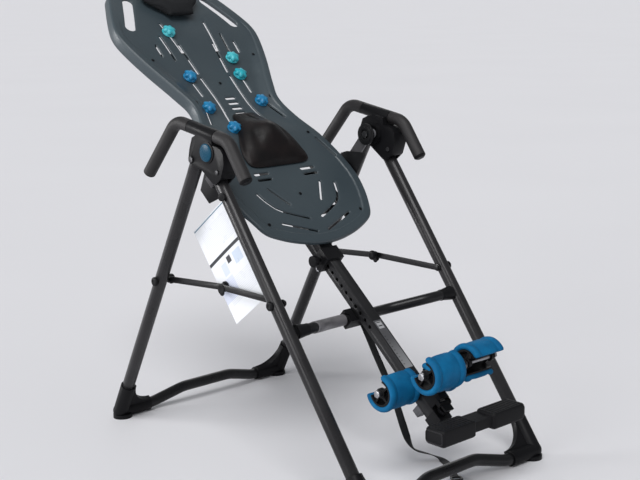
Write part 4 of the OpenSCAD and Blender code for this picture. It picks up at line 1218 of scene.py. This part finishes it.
pillow_knit = knit_finish("pillow_knit", (0.008, 0.009, 0.010), (0.026, 0.027, 0.030))


def swell(piece, voxel, pressure, most):
    """Remeshes a closed pad and swells it like a stuffed cover, moving no point more than a cap."""
    cover = piece.modifiers.new("voxels", "REMESH")
    cover.mode, cover.voxel_size = "VOXEL", voxel
    blank = plain(piece.name + "_cover", piece)
    start = [v.co.copy() for v in blank.data.vertices]
    cloth = blank.modifiers.new("stuffing", "CLOTH")
    cloth.settings.use_pressure = True
    cloth.settings.uniform_pressure_force = pressure
    cloth.settings.effector_weights.gravity = 0
    for number in range(1, 21):
        scene.frame_set(number)
    stuffed = plain(piece.name + "_stuffed", blank)
    scene.frame_set(1)
    moved = [v.co.copy() for v in stuffed.data.vertices]
    bpy.data.objects.remove(stuffed)
    blank.modifiers.clear()
    for v, a, b in zip(blank.data.vertices, start, moved):
        step = b - a
        v.co = a + step * min(1.0, most / max(step.length, 1e-9))
    smooth = blank.modifiers.new("fine", "SUBSURF")
    smooth.levels = smooth.render_levels = 1
    final = plain(piece.name + "_pad", blank)
    bpy.data.objects.remove(blank)
    final.data.shade_smooth()
    return final


def ring_skin(rings, n):
    """The quads between rings of n points each."""
    ends = [(i * n, (i + 1) * n) for i in range(rings - 1)]
    return [(a + k, a + (k + 1) % n, b + (k + 1) % n, b + k) for a, b in ends for k in range(n)]


def pillow_blank():
    """The pillow before stuffing: a rounded wedge, slightly smaller than it ends up."""
    ys = [656 + k * 12.4 for k in range(13)]
    verts, faces, n = [], [], 20
    for y in ys:
        half = 50 + 60 * ease(y, 655, 742) - 18 * ease(y, 746, 800)
        end = min(ease(y, 652, 676), ease(810 - y, 0, 22))
        for k in range(n):
            a = 2 * math.pi * k / n
            c, s = math.cos(a), math.sin(a)
            x = (half - 2) * math.copysign(abs(c) ** 0.45, c)
            z = 14 * (0.45 + 0.55 * end) * math.copysign(abs(s) ** 0.7, s)
            verts.append(on_bed @ Vector((x, y, bed_level(y) + 19.5 + z)))
    faces += ring_skin(len(ys), n)
    faces += [tuple(range(n))[::-1], tuple((len(ys) - 1) * n + k for k in range(n))]
    piece = new_piece("head_cushion", verts, faces, pillow_knit)
    face_out(piece)
    return piece


blank = pillow_blank()
pillow = swell(blank, 0.005, 4.0, 0.006)
bpy.data.objects.remove(blank)
pillow.name = "head_cushion"
wear(pillow, pillow_knit)
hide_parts("head_pillow")
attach(pillow, "bed")


# The lumbar bridge. A firm arch of glossy dark-brown skinned foam that clips across the spine
# channel, with a raised crown, two scooped flanks and a thin rolled border.
def skinned_foam():
    """Integral-skin foam: dark brown, half glossy, with a leathery grain."""
    f = Finish("skinned_foam", (0.010, 0.008, 0.008), 0.42, Specular_IOR_Level=0.22)
    cells = f.node("ShaderNodeTexVoronoi", {"Scale": 420, "Vector": f.place}, "Distance")
    broad = f.fit(f.noise(18, 3.0), 0.35, 0.7)
    f.set("Base Color", f.mix(broad, (0.004, 0.0035, 0.004), (0.012, 0.008, 0.008)))
    f.set("Roughness", f.fit(f.noise(60, 3.0), 0.3, 0.7, 0.38, 0.54))
    f.bump(cells + f.noise(1100) * 0.6, 0.00028)
    return f


def bridge_half(v):
    """The bridge's half width at a share v of its length, from foot to head."""
    return 117 - 69 * ease(v, 0.05, 1.05) + 5 * math.sin(math.pi * v)


def bridge_height(u, v):
    """The bridge's height at a share u of its half width."""
    arch = 50 * ease(v, -0.12, 0.40) * (1 - 0.94 * ease(v, 0.45, 1.04))
    side = 1 - abs(u) ** 2.6
    crown = 12 * math.exp(-((u / 0.30) ** 2 + ((v - 0.46) / 0.20) ** 2))
    scoop = -9 * (math.exp(-(((abs(u) - 0.55) / 0.17) ** 2 + ((v - 0.42) / 0.17) ** 2)))
    groove = -4.5 * math.exp(-((u / 0.10) ** 2)) * ease(v, 0.62, 0.75)
    edge = ease(1 - abs(u), 0, 0.10) * ease(v, 0, 0.07) * ease(1 - v, 0, 0.07)
    return 3.5 + edge * (2.5 + side * arch * 0.86 + crown + scoop * side + groove)


def lumbar_arch(finish):
    cols, rows, low, high = 64, 56, 16, 244
    verts, soles = [], []
    for row in range(rows + 1):
        v = row / rows
        for col in range(cols + 1):
            u = 2 * col / cols - 1
            corner = 1 - 0.10 * abs(u) ** 8
            y = (low + high) / 2 + (v - 0.5) * (high - low) * corner
            x = bridge_half(v) * u * (1 - 0.045 * abs(2 * v - 1) ** 8)
            rest = -seat_drop + 0.8 + dish(x, y, edge_gap(Vector((x, y))))
            verts.append((x, y, rest + bridge_height(u, v)))
            soles.append((x * 0.985, (low + high) / 2 + (y - (low + high) / 2) * 0.985, rest))
    top = len(verts)
    verts += soles
    faces = two_sided(rows, cols, top)
    piece = new_piece("lumbar_arch", [on_bed @ Vector(v) for v in verts], faces, finish)
    face_out(piece)
    piece.data.set_sharp_from_angle(angle=math.radians(50))
    return piece


lumbar = lumbar_arch(skinned_foam())
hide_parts("lumbar_bridge")
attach(lumbar, "bed")


# The pressure nodes. Soft rubber knobs with a domed crown and petal lobes, pushed through the flex
# slots. The two nearest the head are a paler teal. They are drawn 42 mm across, their solids 30 mm.
NODE_SPOTS = [(-80, 597), (-100, 412), (-108, 278), (-80, 178), (101, 476), (92, 407), (103, 288)]


def rubber(name, color, light):
    """Moulded rubber with a satin skin, paler on its worn crowns."""
    f = Finish(name, color, 0.34)
    f.set("Base Color", f.mix(f.fit(f.noise(90, 3.0), 0.35, 0.7), color, light))
    f.set("Roughness", f.fit(f.noise(220, 3.0), 0.3, 0.7, 0.28, 0.42))
    f.bump(f.noise(1200), 0.00008)
    return f


def lobed_knob(x, y):
    """One knob: a round foot, six petals and a dome."""
    rings = [
        (20, 0.4), (21, 2), (21, 4.6), (18.6, 7), (18.2, 9), (19.4, 11.4), (18.6, 15), (15.6, 18.6),
        (10.5, 21.3), (4.8, 22.6)
    ]
    n, verts, faces = 48, [], []
    base = -seat_drop + dish(x, y, edge_gap(Vector((x, y))))
    for r, z in rings:
        petal = 0.16 * ease(z, 6, 10.5) * (1 - ease(z, 17, 22.6))
        for k in range(n):
            a = 2 * math.pi * k / n
            q = r * (1 + petal * math.cos(6 * a))
            verts.append((x + q * math.cos(a), y + q * math.sin(a), base + z))
    faces += ring_skin(len(rings), n)
    verts.append((x, y, base + 23))
    tip = len(verts) - 1
    faces += [((len(rings) - 1) * n + k, (len(rings) - 1) * n + (k + 1) % n, tip) for k in range(n)]
    faces.append(tuple(range(n))[::-1])
    return verts, faces


def knob_set(name, spots, finish):
    verts, faces = [], []
    for x, y in spots:
        more, sides = lobed_knob(x, y)
        faces += [tuple(i + len(verts) for i in side) for side in sides]
        verts += more
    piece = new_piece(name, [on_bed @ Vector(v) for v in verts], faces, finish)
    face_out(piece)
    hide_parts("pressure_nodes")
    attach(piece, "bed")
    return piece


TEAL = [(-80, 597), (101, 476)]
knob_set("teal_knobs", TEAL, rubber("teal_rubber", (0.030, 0.42, 0.50), (0.10, 0.58, 0.64)))
knob_set("green_knob", [(92, 407)], rubber("sea_rubber", (0.012, 0.33, 0.42), (0.03, 0.46, 0.54)))
blue_spots = [spot for spot in NODE_SPOTS if spot not in TEAL + [(92, 407)]]
knob_set("blue_knobs", blue_spots, rubber("blue_rubber", (0.006, 0.17, 0.38), (0.02, 0.26, 0.50)))


# The main shaft. A square 38 mm steel tube with a row of adjusting holes slides in a sleeve under
# the bed. A spring pin with a round knob locks it, and a webbing eye is bolted under the lock.
shaft_paint = powder_coat("shaft_powder_coat", (0.009, 0.009, 0.010), (0.036, 0.036, 0.039), 0.34)
rounded_copy("shaft_tube", ["main_shaft"], "shaft", shaft_paint, 0.0012)
rounded_copy("shaft_sleeve_tube", ["shaft_sleeve"], "bed", black_paint, 0.0010)
rounded_copy("lock_housing", ["selector_housing"], "bed", housing_plastic, 0.0022, 3)
rounded_copy("lock_knob", ["selector_pin"], "selector", black_plastic, 0.0014, 3)
rounded_copy("strap_hook", ["strap_eye"], "bed", zinc, 0.0006)
label_low, label_high, label_half = -712.0, -545.0, 15.0
label_rise = 0.25


def label_finish():
    """Silver foil with a plain scale: short bars along one edge and two blank panels near its head."""
    f = Finish("scale_label", (0.42, 0.42, 0.44), 0.34, 0.55)
    across, along, _ = f.split(f.node("ShaderNodeUVMap", uv_map="label"))

    def band(x0, x1, y0, y1):
        return f.fit(across, x0 - 0.3, x0 + 0.3) * f.fit(across, x1 - 0.3, x1 + 0.3, 1, 0) \
            * f.fit(along, y0 - 0.3, y0 + 0.3) * f.fit(along, y1 - 0.3, y1 + 0.3, 1, 0)

    bars = f.fit((along * 0.52).sum("SINE", along * 0.52), 0.55, 0.75)
    tone = f.mix(f.fit(along, -712, -610), (0.46, 0.46, 0.47), (0.13, 0.13, 0.14))
    tone = f.mix(bars * band(-12, -6, -704, -590) * 0.6, tone, (0.03, 0.03, 0.034))
    tone = f.mix(band(-10, 10, -574, -550), tone, (0.62, 0.62, 0.64))
    tone = f.mix(bars * band(-8, 8, -572, -552), tone, (0.03, 0.03, 0.034))
    f.set("Base Color", tone)
    f.set("Roughness", f.fit(f.noise(90, 3.0), 0.3, 0.7, 0.30, 0.42))
    f.bump(f.noise(900), 0.00003)
    return f


def scale_label():
    corners = [
        (-label_half, label_low), (label_half, label_low), (label_half, label_high),
        (-label_half, label_high)
    ]
    face = -shaft_drop * 1000 + shaft_wide * 500
    verts = [on_bed @ Vector((x, y, face + rise)) for rise in (0.02, label_rise) for x, y in corners]
    faces = [(3, 2, 1, 0), (4, 5, 6, 7)] + [(k, (k + 1) % 4, 4 + (k + 1) % 4, 4 + k) for k in range(4)]
    piece = new_piece("scale_label", verts, faces, label_finish(), False)
    uv = piece.data.uv_layers.new(name="label")
    for loop in piece.data.loops:
        uv.data[loop.index].uv = corners[loop.vertex_index % 4]
    face_out(piece)
    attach(piece, "shaft")


scale_label()


# The ankle clamp. A ratchet block on the shaft grips a toothed post, which carries the front pair
# of cups on a plated axle, and the rear pair turn on an axle through the shaft.
post_metal = plated("post_plate", (0.16, 0.16, 0.17), 0.36)
rounded_copy("clamp_block", ["clamp_housing"], "shaft", housing_plastic, 0.0018, 3)
rounded_copy("shaft_end_cap", ["shaft_foot"], "shaft", black_plastic, 0.0018, 3)
rounded_copy("rear_axle_rod", ["rear_ankle_axle"], "shaft", zinc, 0.0008)
rounded_copy("toothed_post", ["clamp_post"], "ankle_clamp", post_metal, 0.0005)
rounded_copy("front_axle_rod", ["front_ankle_axle"], "ankle_clamp", zinc, 0.0008)
rounded_copy("release_lever", ["clamp_lever"], "clamp_release", black_plastic, 0.0014, 3)


# The ankle cups. Each is a thick C of bright blue foam with fat rounded rims, bonded round a black
# plastic liner whose spoked hubs turn on the axle.
cup_r, cup_thick, cup_open, cup_reach, axle_r = 53.0, 17.0, 110.0, 137.0, 7.0
# The last number turns a cup on its axle, in degrees. The front right cup's solid stands at 130.
CUPS = {
    "rear_left_cup": ("rear_left_ankle_cup", -752, -174, -1, 0),
    "rear_right_cup": ("rear_right_ankle_cup", -752, -174, 1, 0),
    "front_left_cup": ("front_left_ankle_cup", -818, -4, -1, 0),
    "front_right_cup": ("front_right_ankle_cup", -818, -4, 1, 165),
}


def cup_foam_finish():
    """Bright blue foam skin: fine pebbling, slightly paler where it is rubbed."""
    f = Finish("blue_foam", (0.001, 0.105, 0.25), 0.62, Specular_IOR_Level=0.15)
    pebble = f.node("ShaderNodeTexVoronoi", {"Scale": 900, "Vector": f.place}, "Distance")
    broad = f.fit(f.noise(22, 3.0), 0.35, 0.7)
    f.set("Base Color", f.mix(broad, (0.001, 0.094, 0.225), (0.003, 0.145, 0.325)))
    f.set("Roughness", f.fit(f.noise(70, 3.0), 0.3, 0.7, 0.54, 0.70))
    f.bump(pebble * 0.7 + f.noise(1500) * 0.6, 0.00035)
    return f


def cup_section(length):
    """The foam wall's section: (radius, distance along the axle), with a fat lip and a groove at each end."""
    inner, outer = cup_r - cup_thick, cup_r
    lip = [
        (inner + 0.4, 22), (inner, 10), (inner + 1.2, 4.5), (inner + 3.6, 1.4), (inner + 7, 0),
        (outer - 7, 0)
    ]
    lip += [(outer - 3.2, 1.6), (outer - 0.8, 5.0), (outer, 10), (outer - 0.8, 14.5), (outer - 2.8, 18.5)]
    lip += [
        (outer - 4.6, 21.0), (outer - 4.9, 23.2), (outer - 4.0, 25.6), (outer - 2.9, 30), (outer - 2.0, 40)
    ]
    return lip + [(r, length - x) for r, x in reversed(lip)]


def swept(name, section, start, end, steps, place, finish, round_ends=0.0):
    """A flat section swept round the x axis between two angles. Its ends may be rounded over."""
    verts, faces, n = [], [], len(section)
    mid_r = sum(r for r, _ in section) / n
    mid_x = sum(x for _, x in section) / n
    rows = []
    if round_ends:
        arc = math.degrees(round_ends / mid_r)
        cap = [
            (start + arc * (1 - math.cos(b)), 0.45 + 0.55 * math.sin(b))
            for b in [math.pi / 2 * k / 5 for k in range(5)]
        ]
        rows += cap
        rows += [(start + arc + (end - start - 2 * arc) * k / steps, 1.0) for k in range(steps + 1)]
        rows += [(end - (a - start), size) for a, size in reversed(cap)]
    else:
        rows = [(start + (end - start) * k / steps, 1.0) for k in range(steps + 1)]
    for a, size in rows:
        a = math.radians(a)
        for r, x in section:
            q = mid_r + (r - mid_r) * size
            w = mid_x + (x - mid_x) * (size if not round_ends else 1 - (1 - size) * 0.12)
            verts.append(place @ Vector((w, q * math.cos(a), q * math.sin(a))))
    faces += ring_skin(len(rows), n)
    last = (len(rows) - 1) * n
    faces += [tuple(range(n))[::-1], tuple(last + k for k in range(n))]
    piece = new_piece(name, verts, faces, finish)
    face_out(piece)
    return piece


def hub_shape(name, x0, length, place, finish):
    """The cup's two spoked hubs, each a turned ring with three webs out to the liner."""
    verts, faces = [], []
    for low in (4.0, length - 16.0):
        ring = [
            (axle_r + 0.1, 0), (axle_r + 6, 0), (axle_r + 7, 1), (axle_r + 7, 11), (axle_r + 6, 12),
            (axle_r + 0.1, 12)
        ]
        n, first = 40, len(verts)
        for r, x in ring:
            verts += [
                Vector((x0 + low + x, r * math.cos(2 * math.pi * k / n), r * math.sin(2 * math.pi * k / n)))
                for k in range(n)
            ]
        for i in range(len(ring)):
            j = (i + 1) % len(ring)
            faces += [
                (first + i * n + k, first + i * n + (k + 1) % n, first + j * n + (k + 1) % n,
                first + j * n + k) for k in range(n)
            ]
        for a in (100, 180, 260):
            a, first = math.radians(a), len(verts)
            u, v = Vector((0, math.cos(a), math.sin(a))), Vector((0, -math.sin(a), math.cos(a)))
            for x in (0.5, 11.5):
                for r, w in (
                    (axle_r + 5, -4), (axle_r + 5, 4), (cup_r - cup_thick - 2, 2.4),
                    (cup_r - cup_thick - 2, -2.4)
                ):
                    verts.append(Vector((x0 + low + x, 0, 0)) + u * r + v * w)
            faces += [(first, first + 1, first + 2, first + 3), (first + 7, first + 6, first + 5, first + 4)]
            faces += [
                (first + k, first + 4 + k, first + 4 + (k + 1) % 4, first + (k + 1) % 4) for k in range(4)
            ]
    piece = new_piece(name, [place @ v for v in verts], faces, finish)
    face_out(piece)
    piece.data.set_sharp_from_angle(angle=math.radians(40))
    return piece


blue_foam = cup_foam_finish()
cup_length = cup_reach - 25
for node, (body, y, z, s, face) in CUPS.items():
    x0 = 24.0 if s > 0 else -cup_reach + 1
    place = on_bed @ Matrix.Translation((0, y, z)) @ Matrix.Rotation(math.radians(face), 4, "X")
    foam = swept(
        node + "_foam", [(r, x0 + x) for r, x in cup_section(cup_length)], cup_open / 2, 360 - cup_open / 2,
        46,
        place, blue_foam, 7.0,
    )
    liner_in, liner_out = cup_r - cup_thick - 4, cup_r - cup_thick + 1
    wall = [
        (liner_in, x0 + 3), (liner_out, x0 + 3), (liner_out, x0 + cup_length - 3),
        (liner_in, x0 + cup_length - 3)
    ]
    liner = swept(node + "_liner", wall, cup_open / 2 + 6, 354 - cup_open / 2, 46, place, black_plastic)
    liner.data.set_sharp_from_angle(angle=math.radians(40))
    hubs = hub_shape(node + "_hubs", x0, cup_length, place, black_plastic)
    for piece, slot in ((foam, "cup_blue"), (liner, "black_plastic"), (hubs, "black_plastic")):
        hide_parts(node)
        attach(piece, body)


# The foot platform. Two rubber pads with cross ribs on a moulded bridge, on an arm and a square
# stem that slides in the shaft's end. A fluted dial on the shaft sets its height.
pad_rubber = moulded("pad_rubber", (0.008, 0.008, 0.009), 0.55, 1500, 0.00018)
rounded_copy("platform_body", ["foot_platform"], "platform", pad_rubber, 0.0012, 3)
pad_middle = on_bed @ Vector((0, -959, -70))
pad_inner, pad_outer, pad_deep, pad_tall = 0.034, 0.163, 0.066, 0.044


def rib_recipe():
    """A half-round rib that runs fore and aft through each point."""
    r = Recipe("pad_rib", Length=0.054, Radius=0.0022)
    bar = r.node(
        "GeometryNodeMeshCylinder",
        {"Vertices": 12, "Radius": r.given["Radius"], "Depth": r.given["Length"]}
    )
    laid = r.node("GeometryNodeTransform", {"Geometry": bar, "Rotation": (math.pi / 2, 0, 0)})
    return r.close(r.node("GeometryNodeInstanceOnPoints", {"Points": r.given["Geometry"], "Instance": laid}))


rib_places = []
for s in (-1, 1):
    for k in range(10):
        x = s * (pad_inner + 0.015 + k * 0.011)
        rib_places += [pad_middle + Vector((x, 0, side * (pad_tall / 2 - 0.0008))) for side in (-1, 1)]
pad_ribs = rib_recipe().make("pad_ribs", pad_rubber, rib_places)
# The end beads are a raised rim round each pad's outer end. Their rubber is paler than the pads' rubber, and
# that paler colour is a painted highlight on the rims.
bead_rubber = moulded("bead_rubber", (0.020, 0.020, 0.022), 0.34, 1500, 0.00008)
beads = []
for hand, s in (("left", -1), ("right", 1)):
    deep, tall, turn = pad_deep / 2 - 0.005, pad_tall / 2 - 0.006, 0.008
    ring = []
    for cy, cz, start in ((1, 1, 0), (-1, 1, 90), (-1, -1, 180), (1, -1, 270)):
        for k in range(7):
            a = math.radians(start + 15 * k)
            spot = Vector(
                (0, cy * (deep - turn) + turn * math.cos(a), cz * (tall - turn) + turn * math.sin(a))
            )
            ring.append(pad_middle + Vector((s * pad_outer, 0, 0)) + spot)
    beads.append(tube(hand + "_pad_bead", ring + ring[:1], 0.0017, bead_rubber, 12))
for piece in [pad_ribs] + beads:
    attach(piece, "platform")
rounded_copy("fluted_dial", ["height_dial"], "dial", black_plastic, 0.0010, 2)
